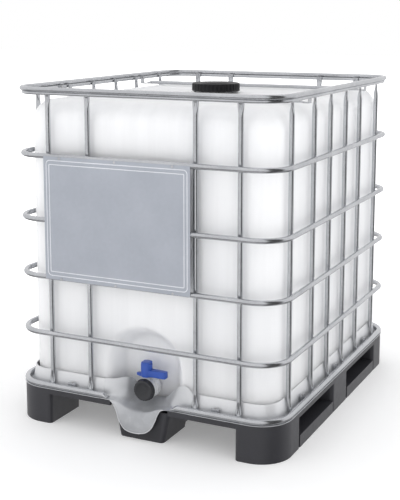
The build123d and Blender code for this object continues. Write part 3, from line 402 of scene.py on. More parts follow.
def floor_plane():
    """Plain pale floor with a little glow, which turns into the white backdrop with distance."""
    mesh = bpy.data.meshes.new("floor")
    reach = 30.0
    mesh.from_pydata([(-reach, -reach, 0), (reach, -reach, 0), (reach, reach, 0), (-reach, reach, 0)], [],
                     [(0, 1, 2, 3)])
    made = bpy.data.objects.new("floor", mesh)
    bpy.context.scene.collection.objects.link(made)
    n = Nodes("floor_paint").set(Roughness=0.9)
    n.link(n.ramp(n.noise(1.3, 4.0), [(0.3, (0.90, 0.90, 0.90)), (0.7, (0.92, 0.92, 0.92))]), "Base Color")
    length = n.tree.nodes.new("ShaderNodeVectorMath")
    length.operation = "LENGTH"
    n.tree.links.new(n.where, length.inputs[0])
    # painted light: the floor's glow rises from 0.24 near the middle to full strength beyond 3.4 m
    painted_light_fade = n.tree.nodes.new("ShaderNodeMapRange")
    painted_light_fade.inputs["From Min"].default_value = 0.9
    painted_light_fade.inputs["From Max"].default_value = 3.4
    painted_light_fade.inputs["To Min"].default_value = 0.24
    n.tree.links.new(length.outputs["Value"], painted_light_fade.inputs["Value"])
    n.shader.inputs["Emission Color"].default_value = (1.0, 1.0, 1.0, 1.0)
    n.tree.links.new(painted_light_fade.outputs["Result"], n.shader.inputs["Emission Strength"])
    mesh.materials.append(n.material)
    made.visible_glossy = False


floor_plane()


def area_light(name, place, target, size, power):
    """Soft white lamp that polished tubes don't mirror."""
    data = bpy.data.lights.new(name, "AREA")
    data.shape = "RECTANGLE"
    data.size, data.size_y = size
    data.energy = power
    made = bpy.data.objects.new(name, data)
    made.location = place
    made.rotation_euler = (Vector(target) - Vector(place)).to_track_quat("-Z", "Y").to_euler()
    made.visible_glossy = False
    bpy.context.scene.collection.objects.link(made)


area_light("key", (-2.6, -3.6, 3.4), (0, 0, 0.6), (2.4, 2.4), 9)
area_light("fill", (4.6, 0.9, 1.7), (0, 0, 0.5), (2.6, 2.6), 9)
area_light("top", (0.0, 0.5, 4.5), (0, 0, 0.5), (3.0, 3.0), 12)
area_light("back", (-1.0, 4.4, 2.6), (0, 0, 0.6), (3.0, 2.0), 10)


DARK_STRIP = (0.946, -0.325, 0.0)    # heading of the dark strip that glossy surfaces mirror


def studio_world():
    """White backdrop for the camera, even pale light, and dark bands seen only in reflections."""
    world = bpy.data.worlds.new("studio")
    world.use_nodes = True
    tree = world.node_tree
    background = tree.nodes["Background"]
    coordinates = tree.nodes.new("ShaderNodeTexCoord")
    split = tree.nodes.new("ShaderNodeSeparateXYZ")
    tree.links.new(coordinates.outputs["Generated"], split.inputs["Vector"])
    spread = tree.nodes.new("ShaderNodeMapRange")
    spread.inputs["From Min"].default_value = -1.0
    tree.links.new(split.outputs["Z"], spread.inputs["Value"])

    def bands(stops):
        ramp = tree.nodes.new("ShaderNodeValToRGB")
        while len(ramp.color_ramp.elements) < len(stops):
            ramp.color_ramp.elements.new(0.5)
        for element, (place, shade) in zip(ramp.color_ramp.elements, stops):
            element.position = place
            element.color = (shade, shade, shade * 1.01, 1.0)
        tree.links.new(spread.outputs["Result"], ramp.inputs["Fac"])
        return ramp.outputs["Color"]

    def choose(when, otherwise, chosen):
        blend = tree.nodes.new("ShaderNodeMix")
        blend.data_type = "RGBA"
        tree.links.new(when, blend.inputs["Factor"])
        for value, socket in ((otherwise, blend.inputs["A"]), (chosen, blend.inputs["B"])):
            if isinstance(value, bpy.types.NodeSocket):
                tree.links.new(value, socket)
            else:
                socket.default_value = (value, value, value, 1.0)
        return blend.outputs["Result"]

    paths = tree.nodes.new("ShaderNodeLightPath")
    room = bands(((0.50, 0.86), (0.75, 0.87), (1.0, 0.88)))
    mirror = bands(((0.12, 0.55), (0.18, 0.18), (0.26, 0.18), (0.32, 0.84), (0.5, 0.88), (1.0, 0.95)))
    level = tree.nodes.new("ShaderNodeVectorMath")
    level.operation = "MULTIPLY"
    level.inputs[1].default_value = (1.0, 1.0, 0.0)
    tree.links.new(coordinates.outputs["Generated"], level.inputs[0])
    heading = tree.nodes.new("ShaderNodeVectorMath")
    heading.operation = "NORMALIZE"
    tree.links.new(level.outputs["Vector"], heading.inputs[0])
    toward = tree.nodes.new("ShaderNodeVectorMath")
    toward.operation = "DOT_PRODUCT"
    toward.inputs[1].default_value = DARK_STRIP
    tree.links.new(heading.outputs["Vector"], toward.inputs[0])
    strip = tree.nodes.new("ShaderNodeMapRange")
    strip.inputs["From Min"].default_value = 0.84
    strip.inputs["From Max"].default_value = 0.93
    tree.links.new(toward.outputs["Value"], strip.inputs["Value"])
    mirror = choose(strip.outputs["Result"], mirror, 0.06)
    seen = choose(paths.outputs["Is Glossy Ray"], room, mirror)
    seen = choose(paths.outputs["Is Camera Ray"], seen, 1.0)
    tree.links.new(seen, background.inputs["Color"])
    background.inputs["Strength"].default_value = 1.0
    bpy.context.scene.world = world


studio_world()

# ---- cage loops ------------------------------------------------------------------------------------
FRONT_X = [sum(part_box("front_upright_" + str(i))[side][0] for side in (0, 1)) / 2 for i in range(1, 5)]
SIDE_Y = [sum(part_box("left_upright_" + str(i))[side][1] for side in (0, 1)) / 2 for i in range(1, 7)]
DENT = 0.0028
DENT_REACH = 0.016


def crossing_dent(x, y, out_x, out_y):
    """How far the inner face of a loop is pressed in by a welded upright at this place."""
    if abs(out_y) > 0.99:
        gaps = [abs(x - place) for place in FRONT_X]
    elif abs(out_x) > 0.99:
        gaps = [abs(y - place) for place in SIDE_Y]
    else:
        return 0.0
    return DENT * smooth(1.6 * (1 - min(gaps) / DENT_REACH))


def hoop(name, half_x, half_y, corner, z, section, node, dents=True, wave=0.0, gap=0.0):
    """Tube round the cage, or all but a gap at the front's middle; section points are (outward, up)."""
    rows = loop_points(half_x, half_y, corner, 0.005 if dents or gap else 0.010)
    reach = min(u for u, v in section)
    vertices = []
    kept = []
    for x, y, out_x, out_y in rows:
        if gap and y < 0 and abs(x) < gap and abs(out_y) > 0.9:
            continue
        kept.append((x, y, out_x, out_y))
    if gap:
        first = next(i for i, row in enumerate(kept) if row[1] < 0 and row[0] >= gap - 0.006)
        kept = kept[first:] + kept[:first]
    for x, y, out_x, out_y in kept:
        press = crossing_dent(x, y, out_x, out_y) if dents else 0.0
        sway = wave * noise.noise(Vector((x * 7, y * 7, z * 3)))
        tip = smooth((abs(x) - gap) / 0.022) if gap and y < 0 and abs(out_y) > 0.9 else 1.0
        for u, v in section:
            u = max(u, reach + press)
            v = v * (0.30 + 0.70 * tip) - 0.0066 * (1 - tip)
            vertices.append((x + out_x * (u + sway), y + out_y * (u + sway), z + v))
    faces = tube_faces(len(kept), len(section), closed=not gap)
    if gap:
        count = len(section)
        faces.append(tuple(range(count)))
        faces.append(tuple(reversed(range((len(kept) - 1) * count, len(kept) * count))))
    piece(name, vertices, faces, node)


for ring_name, ring_z in zip(RING_NAMES, RING_Z):
    hoop(ring_name + "_tube", RING_X, RING_Y, RING_CORNER, ring_z, circle_section(RING_R), ring_name,
         wave=0.0008)

RIM_Z = TOP - 0.0080
LOWER_LOBE = (-0.0055, -0.0132)
GROOVE_RIGHT = (0.0026, -0.0079)
GROOVE_LEFT = (-0.0095, -0.0078)
UPPER_LOBE_CUT = -0.0076
OUTLET_BREAK = 0.118


def rim_outline():
    """Upper lobe, groove and lower lobe of the stacking rim, with a flat crest."""
    upper = rounded_section(0.0178, 0.0155, 0.0068)
    lower = rounded_section(0.0148, 0.0120, 0.0052, LOWER_LOBE)
    quarter = len(upper) // 4
    outline = sorted((p for p in lower if p[0] > LOWER_LOBE[0]), key=lambda p: p[1])
    outline += [GROOVE_RIGHT]
    outline += [p for p in upper[:quarter] if p[1] > UPPER_LOBE_CUT]
    outline += upper[quarter:3 * quarter]
    outline += [p for p in upper[3 * quarter:] if p[1] > UPPER_LOBE_CUT]
    outline += [GROOVE_LEFT]
    outline += sorted((p for p in lower if p[0] <= LOWER_LOBE[0]), key=lambda p: -p[1])
    return outline


hoop("top_rim_profile", RING_X, RING_Y, RING_CORNER, RIM_Z, rim_outline(), "top_rim", dents=False,
     wave=0.0006)
hoop("base_tube", HALF_X - BASE_R, HALF_Y - BASE_R, RING_CORNER, BASE_Z, circle_section(BASE_R - 0.0003),
     "base_ring", dents=False, gap=OUTLET_BREAK)


# ---- uprights ------------------------------------------------------------------------------------
UPRIGHT_R = 0.0085
FLAT_HALF_W = 0.0115
FLAT_HALF_T = 0.0030
UPRIGHT_LOW, UPRIGHT_HIGH = (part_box("front_upright_1")[side][2] for side in (0, 1))
FLAT_H = 0.016
TAPER_H = 0.036
GROOVE = 0.0075
FOOT_SHIFT = 0.00725
HEAD_SHIFT = 0.0010
UPRIGHT_SIDES = 20


def upright_section(z):
    """Section of an upright at height z as (outward, sideways) points."""
    from_low = z - UPRIGHT_LOW
    from_high = UPRIGHT_HIGH - z
    flat_low = 1 - smooth((from_low - FLAT_H) / TAPER_H)
    flat_high = 1 - smooth((from_high - FLAT_H) / TAPER_H)
    flat = max(flat_low, flat_high)
    half_w = UPRIGHT_R + (FLAT_HALF_W - UPRIGHT_R) * flat
    half_t = UPRIGHT_R + (FLAT_HALF_T - UPRIGHT_R) * flat
    shift = FOOT_SHIFT * flat_low + HEAD_SHIFT * flat_high
    near = min(from_low, from_high)
    groove = GROOVE * smooth((near - 0.006) / 0.016) * (1 - smooth((near - 0.024) / 0.036))
    dent = max(DENT * smooth(1.5 * (1 - abs(z - ring_z) / 0.015)) for ring_z in RING_Z)
    points = []
    for i in range(UPRIGHT_SIDES):
        angle = 2 * math.pi * i / UPRIGHT_SIDES
        u = min(half_t * math.cos(angle), half_t - dent)
        v = half_w * math.sin(angle)
        if math.cos(angle) > 0:
            u -= groove * math.exp(-(v / (0.45 * half_w)) ** 2)
        points.append((shift + u, v))
    return points


def upright_heights():
    """Dense rows at the ends and at the crossings, wider ones between."""
    marks = set()
    z = UPRIGHT_LOW
    while z < UPRIGHT_HIGH:
        marks.add(round(z, 5))
        near = min(z - UPRIGHT_LOW, UPRIGHT_HIGH - z) < 0.07 or min(abs(z - r) for r in RING_Z) < 0.02
        z += 0.003 if near else 0.012
    marks.add(round(UPRIGHT_HIGH, 5))
    return sorted(marks)


def upright(node, x, y, out_x, out_y):
    """Cage tube at (x, y) whose pressed ends face outward."""
    rows = upright_heights()
    vertices = []
    for z in rows:
        for u, v in upright_section(z):
            vertices.append((x + out_x * u - out_y * v, y + out_y * u + out_x * v, z))
    piece(node + "_tube", vertices, capped_tube(len(rows), UPRIGHT_SIDES), node)


INSET = RING_R + UPRIGHT_R
for i, place in enumerate(FRONT_X, start=1):
    upright("front_upright_" + str(i), place, -RING_Y + INSET, 0, -1)
    upright("back_upright_" + str(i), place, RING_Y - INSET, 0, 1)
for i, place in enumerate(SIDE_Y, start=1):
    upright("left_upright_" + str(i), -RING_X + INSET, place, -1, 0)
    upright("right_upright_" + str(i), RING_X - INSET, place, 1, 0)


# ---- label plate -----------------------------------------------------------------------------------
PLATE_LOW, PLATE_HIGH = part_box("label_plate")
PLATE_BACK = PLATE_HIGH[1]
PLATE_FACE = PLATE_BACK - 0.0011
CREASES = ((0.0105, 0.0135, 0.0130), (0.0215, 0.0270, 0.0030))
CREASE_HALF = 0.0017
CREASE_RISE = 0.0006


def plate_hollow(x, z):
    """How far the panel inside the outer crease is pressed back."""
    inset_x, inset_z, radius = CREASES[0]
    edge = min(x - PLATE_LOW[0] - inset_x, PLATE_HIGH[0] - inset_x - x, z - PLATE_LOW[2] - inset_z,
               PLATE_HIGH[2] - inset_z - z)
    return 0.0004 * smooth(edge / 0.006 + 0.5)


def label_plate():
    """Thin sheet, very slightly drummed, with the panel inside its outer crease pressed back."""
    columns, rows = 136, 104
    vertices = []
    for j in range(rows + 1):
        z = PLATE_LOW[2] + (PLATE_HIGH[2] - PLATE_LOW[2]) * j / rows
        for i in range(columns + 1):
            x = PLATE_LOW[0] + (PLATE_HIGH[0] - PLATE_LOW[0]) * i / columns
            drum = 0.00035 * noise.noise(Vector((x * 4, z * 4, 4.2)))
            vertices.append((x, PLATE_FACE + min(0.0005, plate_hollow(x, z) + drum), z))
    width = columns + 1
    faces = []
    for j in range(rows):
        for i in range(columns):
            a = j * width + i
            faces.append((a, a + 1, a + 1 + width, a + width))
    thicken(piece("label_plate_sheet", vertices, faces, "label_plate"), 0.0009)


def plate_crease(name, inset_x, inset_z, radius):
    """Half-round pressed line with rounded corners, bright along its crest from a painted highlight: a paler
    copy of the label sheet.
    """
    middle_x = (PLATE_LOW[0] + PLATE_HIGH[0]) / 2
    middle_z = (PLATE_LOW[2] + PLATE_HIGH[2]) / 2
    rows = loop_points((PLATE_HIGH[0] - PLATE_LOW[0]) / 2 - inset_x,
                       (PLATE_HIGH[2] - PLATE_LOW[2]) / 2 - inset_z, radius, 0.008)
    section = [(CREASE_HALF * math.cos(math.pi * k / 6), CREASE_RISE * math.sin(math.pi * k / 6))
               for k in range(7)]
    section += [(-CREASE_HALF, -0.0007), (CREASE_HALF, -0.0007)]
    vertices = []
    for x, z, out_x, out_z in rows:
        for u, v in section:
            vertices.append((middle_x + x + out_x * u, PLATE_FACE - v, middle_z + z + out_z * u))
    made = piece(name, vertices, tube_faces(len(rows), len(section), closed=True), "label_plate")
    # painted highlight: the crease takes the paler copy of the label sheet
    refinish(made, LABEL_CREASE_HIGHLIGHT)


label_plate()
for number, crease in enumerate(CREASES, start=1):
    plate_crease("label_plate_crease_" + str(number), *crease)


# ---- bottle ----------------------------------------------------------------------------------------
BOTTLE_LOW, BOTTLE_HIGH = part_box("bottle")
BOTTLE_X = BOTTLE_HIGH[0]
BOTTLE_Y = BOTTLE_HIGH[1]
BOTTLE_Z = BOTTLE_LOW[2]
NECK_TOP = BOTTLE_HIGH[2]
DECK_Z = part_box("lid")[0][2] - 0.0070
CORNER = 0.084
SHOULDER = 0.072
HEEL = 0.042
RECESS_HALF = 0.145
RECESS_TOP = 0.385
RECESS_DEPTH = 0.060
RECESS_SOFT = 0.050
NECK_R = 0.0775
THREAD_R = 0.0800
NECK_BORE = 0.074
NECK_FOOT_R = 0.086
CROSS_BAR_Y = 0.300
FINE_Y = -0.40


def bottle_outline():
    """Walk round the bottle: fine steps along the front, where the recess is, and coarser elsewhere."""
    fine = loop_points(BOTTLE_X, BOTTLE_Y, CORNER, 0.006)
    coarse = loop_points(BOTTLE_X, BOTTLE_Y, CORNER, 0.016)
    right = [row for row in fine if row[1] < FINE_Y and row[0] >= 0]
    left = [row for row in fine if row[1] < FINE_Y and row[0] < 0]
    return right + [row for row in coarse if row[1] >= FINE_Y] + left


def inset_outline(outline, inset):
    """The same walk drawn inward; corners tighten with it."""
    return [(x - out_x * inset, y - out_y * inset, out_x, out_y) for x, y, out_x, out_y in outline]


def recess_amount(x, z):
    """0 outside the arched recess, 1 on its floor, with a soft edge."""
    arch = RECESS_TOP - RECESS_HALF
    if z > arch:
        inside = RECESS_HALF - math.hypot(x, z - arch)
    else:
        inside = RECESS_HALF - abs(x)
    return smooth(inside / RECESS_SOFT)


def bottle_wobble(x, y, z):
    """Slight unevenness of a blown wall, in metres inward."""
    slow = noise.noise(Vector((x * 3.1, y * 3.1, z * 2.3)))
    fast = noise.noise(Vector((x * 9.0 + 5, y * 9.0, z * 5.0)))
    return 0.0016 * (slow + 0.5) + 0.0005 * (fast + 0.5)


def wall_pull(x, y, out_x, out_y, z):
    """Shallow upright channels pressed beside the cage tubes on the flat walls."""
    lower = smooth((z - 0.24) / 0.08)
    upper = 1 - smooth((z - 0.93) / 0.09)
    if abs(out_y) > 0.95:
        gap = min(abs(x - place) for place in FRONT_X)
    elif abs(out_x) > 0.95:
        gap = min(abs(y - place) for place in SIDE_Y)
    else:
        return 0.0
    return 0.0012 * lower * upper * (1 - smooth((gap - 0.010) / 0.026))


def bottle_skin():
    """Heel, walls, shoulder, deck and neck in one surface, row by row round the same walk."""
    outline = bottle_outline()
    count = len(outline)
    levels = []
    for i in range(9):
        angle = math.pi / 2 * i / 8
        levels.append((BOTTLE_Z + HEEL * (1 - math.cos(angle)), HEEL * (1 - math.sin(angle))))
    z = BOTTLE_Z + HEEL + 0.006
    while z < DECK_Z - SHOULDER:
        levels.append((z, 0.0))
        z += 0.006 if z < RECESS_TOP + 0.012 else 0.018
    for i in range(17):
        angle = math.pi / 2 * i / 16
        levels.append((DECK_Z - SHOULDER * (1 - math.sin(angle)), SHOULDER * (1 - math.cos(angle))))
    vertices = []
    for z, inset in levels:
        for x, y, out_x, out_y in inset_outline(outline, inset):
            pull = bottle_wobble(x, y, z) + wall_pull(x, y, out_x, out_y, z)
            px = x - out_x * pull
            py = y - out_y * pull
            if y < 0 and out_y < -0.5:
                deep = recess_amount(x, z)
                py += deep * max(0.0, (-BOTTLE_Y + RECESS_DEPTH) - py)
            vertices.append((px, py, z))
    rows = len(levels)
    faces = tube_faces(rows, count)
    faces.append(tuple(reversed(range(count))))

    # the top: from the shoulder's crest to the neck, with a shallow channel under each cross bar
    crest = [vertex[:2] for vertex in vertices[(rows - 1) * count:rows * count]]
    shares = (0.06, 0.16, 0.30, 0.46, 0.62, 0.76, 0.86, 0.92, 0.96, 1.0)
    ring_start = len(vertices)
    for share in shares:
        for x, y in crest:
            angle = math.atan2(y, x)
            px = x + (NECK_FOOT_R * math.cos(angle) - x) * share
            py = y + (NECK_FOOT_R * math.sin(angle) - y) * share
            bar = abs(abs(py) - CROSS_BAR_Y)
            sink = 0.004 * (1 - smooth((bar - 0.012) / 0.030))
            sink += 0.0008 * (noise.noise(Vector((px * 6, py * 6, 1.0))) + 0.6)
            vertices.append((px, py, DECK_Z - sink * smooth((1 - share) / 0.15)))
    for level in range(len(shares)):
        a = (rows - 1) * count if level == 0 else ring_start + (level - 1) * count
        b = ring_start + level * count
        for k in range(count):
            m = (k + 1) % count
            faces.append((a + k, a + m, b + m, b + k))

    # the neck with three ridges for its thread, its lip and its bore
    profile = [(0.0835, DECK_Z + 0.0002), (0.0800, DECK_Z + 0.0015), (NECK_R, DECK_Z + 0.0040)]
    for turn in range(3):
        foot = DECK_Z + 0.0075 + 0.007 * turn
        profile += [(NECK_R, foot), (THREAD_R, foot + 0.0012), (THREAD_R, foot + 0.0024),
                    (NECK_R, foot + 0.0036)]
    profile += [(NECK_R, NECK_TOP - 0.0012), (NECK_R - 0.0010, NECK_TOP), (NECK_BORE + 0.0008, NECK_TOP),
                (NECK_BORE, NECK_TOP - 0.001), (NECK_BORE, DECK_Z - 0.006),
                (NECK_BORE + 0.004, DECK_Z - 0.012)]
    neck_start = len(vertices)
    for radius, z in profile:
        for x, y in crest:
            angle = math.atan2(y, x)
            vertices.append((radius * math.cos(angle), radius * math.sin(angle), z))
    a = ring_start + (len(shares) - 1) * count
    for level in range(len(profile)):
        b = neck_start + level * count
        for k in range(count):
            m = (k + 1) % count
            faces.append((a + k, a + m, b + m, b + k))
        a = b
    piece("bottle_skin", vertices, faces, "bottle")


bottle_skin()


def lathe(name, profile, centre, axis, node, body, segments, grips, grip_rows, grip_depth):
    """Turned hollow piece: its profile of (radius, distance along the axis) runs from inside to outside."""
    axis = Vector(axis)
    side = axis.orthogonal().normalized()
    other = axis.cross(side)
    vertices = []
    for row, (radius, along) in enumerate(profile):
        for k in range(segments):
            angle = 2 * math.pi * k / segments
            r = radius
            if row in grip_rows:
                r -= grip_depth * smooth(0.5 - 1.2 * math.cos(grips * angle))
            out = side * math.cos(angle) + other * math.sin(angle)
            vertices.append(Vector(centre) + axis * along + out * r)
    piece(name, vertices, capped_tube(len(profile), segments), node, body)


# ---- filling lid -----------------------------------------------------------------------------------
LID_LOW, LID_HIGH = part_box("lid")
LID_R = LID_HIGH[0]
LID_PROFILE = [(0.0004, LID_HIGH[2] - 0.0060), (0.0700, LID_HIGH[2] - 0.0060), (0.0824, LID_HIGH[2] - 0.0062),
               (0.0824, LID_LOW[2] + 0.0100), (0.0826, LID_LOW[2] + 0.0004), (0.0830, LID_LOW[2]),
               (LID_R - 0.0015, LID_LOW[2]), (LID_R - 0.0003, LID_LOW[2] + 0.0012),
               (LID_R - 0.0003, LID_LOW[2] + 0.0040), (LID_R - 0.0010, LID_LOW[2] + 0.0048),
               (LID_R - 0.0010, LID_HIGH[2] - 0.0072), (LID_R - 0.0016, LID_HIGH[2] - 0.0048),
               (LID_R - 0.0034, LID_HIGH[2] - 0.0030), (LID_R - 0.0060, LID_HIGH[2] - 0.0022),
               (0.0760, LID_HIGH[2] - 0.0020), (0.0745, LID_HIGH[2] - 0.0034), (0.0560, LID_HIGH[2] - 0.0036),
               (0.0545, LID_HIGH[2] - 0.0022), (0.0420, LID_HIGH[2] - 0.0020), (0.0395, LID_HIGH[2] - 0.0004),
               (0.0380, LID_HIGH[2] - 0.0002), (0.0100, LID_HIGH[2] - 0.0002), (0.0004, LID_HIGH[2] - 0.0002)]
lathe("lid_shell", LID_PROFILE, (0, 0, 0), (0, 0, 1), "lid", "lid_body", 288, 36, (9, 10), 0.0022)

# ---- outlet cap, on the outlet axis -------------------------------------------------------------------
CAP_LOW, CAP_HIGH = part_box("outlet_cap")
CAP_R = CAP_HIGH[0]
CAP_BACK = -CAP_HIGH[1]
CAP_FACE = -CAP_LOW[1]
CAP_PROFILE = [(0.0004, CAP_FACE - 0.0042), (0.0297, CAP_FACE - 0.0042), (0.0297, CAP_BACK + 0.0020),
               (0.0301, CAP_BACK + 0.0003), (0.0305, CAP_BACK), (CAP_R - 0.0012, CAP_BACK),
               (CAP_R - 0.0002, CAP_BACK + 0.0010), (CAP_R - 0.0002, CAP_BACK + 0.0026),
               (CAP_R - 0.0014, CAP_BACK + 0.0034), (CAP_R - 0.0016, CAP_FACE - 0.0062),
               (CAP_R - 0.0024, CAP_FACE - 0.0034), (CAP_R - 0.0044, CAP_FACE - 0.0014),
               (CAP_R - 0.0070, CAP_FACE - 0.0004), (0.0270, CAP_FACE - 0.0002), (0.0258, CAP_FACE - 0.0014),
               (0.0120, CAP_FACE - 0.0018), (0.0004, CAP_FACE - 0.0018)]
lathe("outlet_cap_shell", CAP_PROFILE, (0, 0, OUTLET_Z), (0, -1, 0), "outlet_cap", "cap_body", 240, 24,
      (8, 9, 10), 0.0013)


# ---- valve handle ----------------------------------------------------------------------------------
def handle_shell():
    """Tall hub with a flat key head, and a long and a short arm, all with moulded round edges."""
    low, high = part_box("valve_handle")
    hub_r = 0.0195
    key_half = 0.0150
    tip_bulge = 0.0030
    tip_r = 0.0090
    arm_low = low[2] + 0.0025
    arm_high = low[2] + 0.0250

    def arm_width(x):
        reach = x / high[0] if x > 0 else x / low[0]
        return 0.0125 - 0.0022 * reach

    parts = []
    outline = []
    for i in range(25):
        angle = math.radians(-60 + 120 * i / 24)
        x = high[0] - tip_bulge + tip_bulge * math.cos(angle)
        outline.append((x, arm_width(high[0]) * math.sin(angle) / math.sin(math.radians(60))))
    for x in (0.060, 0.045, 0.030):
        outline.append((x, arm_width(x)))
    for first in (50, 230):
        for i in range(9):
            angle = math.radians(first + 80 * i / 8)
            outline.append((hub_r * math.cos(angle), hub_r * math.sin(angle)))
    for x in (0.030, 0.045, 0.060):
        outline.append((x, -arm_width(x)))
    parts.append((outline, arm_low, arm_high, 0.0022))
    wedge = [(0.0, 0.0125), (-0.014, 0.0120), (-0.026, 0.0105)]
    for i in range(9):
        angle = math.radians(100 + 160 * i / 8)
        wedge.append((low[0] + tip_r + tip_r * math.cos(angle), 0.0085 * math.sin(angle)))
    wedge += [(-0.026, -0.0105), (-0.014, -0.0120), (0.0, -0.0125)]
    parts.append((wedge, low[2] + 0.0008, low[2] + 0.0100, 0.0024))
    parts.append((circle_section(hub_r, 48), low[2] + 0.0005, high[2] - 0.0080, 0.0018))
    key = [(max(-key_half, min(key_half, x)), y) for x, y in circle_section(hub_r * 0.97, 48)]
    parts.append((key, high[2] - 0.0200, high[2] - 0.0003, 0.0022))
    vertices = []
    faces = []
    for shape, z0, z1, soft in parts:
        start = len(vertices)
        levels = [(z0, soft), (z0 + 0.3 * soft, 0.3 * soft), (z0 + soft, 0.0), (z1 - soft, 0.0),
                  (z1 - 0.3 * soft, 0.3 * soft), (z1, soft)]
        for z, inset in levels:
            for x, y in shape:
                length = math.hypot(x, y)
                shrink = 1 - inset / max(length, 0.004)
                vertices.append((x * shrink, STEM_Y + y * shrink, z))
        faces += capped_tube(len(levels), len(shape), start)
    piece("valve_handle_shell", vertices, faces, "valve_handle", "handle_body")


handle_shell()


# ---- steel tray ---------------------------------------------------------------------------------------
GAP_LEFT = 0.150
GAP_RIGHT = 0.184
TRAY_CORNER = 0.110
WALL_PROFILE = [(-0.0060, -0.0014), (-0.0012, -0.0013), (-0.0002, -0.0006), (-0.0006, 0.0001),
                (-0.0025, 0.0003), (-0.0150, 0.0000), (-0.0240, 0.0001), (-0.0268, 0.0010),
                (-0.0286, 0.0034), (-0.0296, 0.0080), (-0.0316, 0.0180), (-0.0345, 0.0330),
                (-0.0372, 0.0460), (-0.0388, 0.0530), (-0.0398, 0.0556), (-0.0412, 0.0562),
                (-0.0420, 0.0556)]
TRAY_METAL = 0.0012
DENT_X, DENT_Y = 0.42, -0.52


def sheet_wave(x, y, out):
    """Small dents of a handled sheet, deeper near the front right corner."""
    near = math.exp(-((x - DENT_X) ** 2 + (y - DENT_Y) ** 2) / 0.020)
    return (0.0007 + 0.0022 * near) * noise.noise(Vector((x * 17, y * 17, out * 30)))


def tray_skirt():
    """Flange, fold and sloped wall all round except at the outlet."""
    rows = loop_points(HALF_X, HALF_Y, TRAY_CORNER, 0.009)
    rows = [row for row in rows if not (row[3] < -0.9 and -GAP_LEFT < row[0] < GAP_RIGHT)]
    first = next(i for i, row in enumerate(rows) if row[3] < -0.9 and row[0] >= GAP_RIGHT)
    rows = rows[first:] + rows[:first]
    rows = [(GAP_RIGHT, -HALF_Y, 0.0, -1.0)] + rows + [(-GAP_LEFT, -HALF_Y, 0.0, -1.0)]
    vertices = []
    for x, y, out_x, out_y in rows:
        ends = min(abs(x - GAP_RIGHT), abs(x + GAP_LEFT)) / 0.03 if y < -0.5 else 1.0
        for u, v in WALL_PROFILE:
            wave = smooth((-u - 0.004) / 0.010) * smooth(ends) * sheet_wave(x, y, u)
            inward = u - abs(wave) * 0.5
            vertices.append((x + out_x * inward, y + out_y * inward, FLANGE_Z + v + 0.4 * wave * (v < 0.02)))
    width = len(WALL_PROFILE)
    faces = []
    for i in range(len(rows) - 1):
        for k in range(width - 1):
            a = i * width + k
            faces.append((a, a + width, a + width + 1, a + 1))
    thicken(piece("base_tray_skirt", vertices, faces, "base_tray"), TRAY_METAL)


tray_skirt()


def spline(points, t):
    """Catmull-Rom curve through evenly spaced points, t from 0 to 1."""
    last = len(points) - 1
    place = max(0.0, min(last - 1e-9, t * last))
    i = int(place)
    f = place - i
    p1, p2 = Vector(points[i]), Vector(points[i + 1])
    p0 = Vector(points[i - 1]) if i > 0 else p1 * 2 - p2
    p3 = Vector(points[i + 2]) if i + 2 <= last else p2 * 2 - p1
    double = 2 * p1 + (p2 - p0) * f
    double = double + (2 * p0 - 5 * p1 + 4 * p2 - p3) * f * f
    return 0.5 * (double + (3 * p1 - p0 - 3 * p2 + p3) * f ** 3)


# guide lines of the outlet funnel from its middle to one side: crest, throat, brows, bend and lip edge
FUNNEL_LEFT = (
    ((0.000, -0.4990, 0.1270), (0.020, -0.4990, 0.1275), (0.040, -0.5040, 0.1400), (0.048, -0.5220, 0.1750),
     (0.056, -0.5380, 0.1930), (0.074, -0.5510, 0.1960), (0.110, -0.5585, 0.1880), (0.150, -0.5600, 0.1822)),
    ((0.000, -0.5200, 0.1130), (0.022, -0.5210, 0.1150), (0.040, -0.5270, 0.1260), (0.054, -0.5400, 0.1490),
     (0.066, -0.5510, 0.1640), (0.086, -0.5610, 0.1660), (0.116, -0.5655, 0.1610), (0.150, -0.5665, 0.1560)),
    ((0.000, -0.5520, 0.1050), (0.026, -0.5520, 0.1070), (0.048, -0.5550, 0.1150), (0.066, -0.5610, 0.1270),
     (0.084, -0.5670, 0.1350), (0.104, -0.5710, 0.1360), (0.128, -0.5720, 0.1320), (0.150, -0.5710, 0.1275)),
    ((0.000, -0.5780, 0.1010), (0.027, -0.5780, 0.1030), (0.051, -0.5800, 0.1110), (0.071, -0.5820, 0.1205),
     (0.090, -0.5850, 0.1258), (0.110, -0.5860, 0.1264), (0.131, -0.5860, 0.1264), (0.150, -0.5860, 0.1262)),
    ((0.000, -0.5920, 0.0900), (0.028, -0.5920, 0.0930), (0.053, -0.5925, 0.1030), (0.072, -0.5930, 0.1145),
     (0.088, -0.5940, 0.1225), (0.107, -0.5950, 0.1255), (0.130, -0.5965, 0.1262), (0.150, -0.5970, 0.1262)),
    ((0.000, -0.5972, 0.0560), (0.029, -0.5972, 0.0580), (0.054, -0.5972, 0.0700), (0.073, -0.5972, 0.0900),
     (0.086, -0.5974, 0.1110), (0.105, -0.5976, 0.1238), (0.129, -0.5976, 0.1255), (0.150, -0.5976, 0.1257)),
    ((0.000, -0.5974, 0.0270), (0.031, -0.5974, 0.0270), (0.056, -0.5974, 0.0360), (0.074, -0.5974, 0.0610),
     (0.086, -0.5974, 0.0960), (0.104, -0.5976, 0.1220), (0.128, -0.5976, 0.1248), (0.150, -0.5976, 0.1250)))
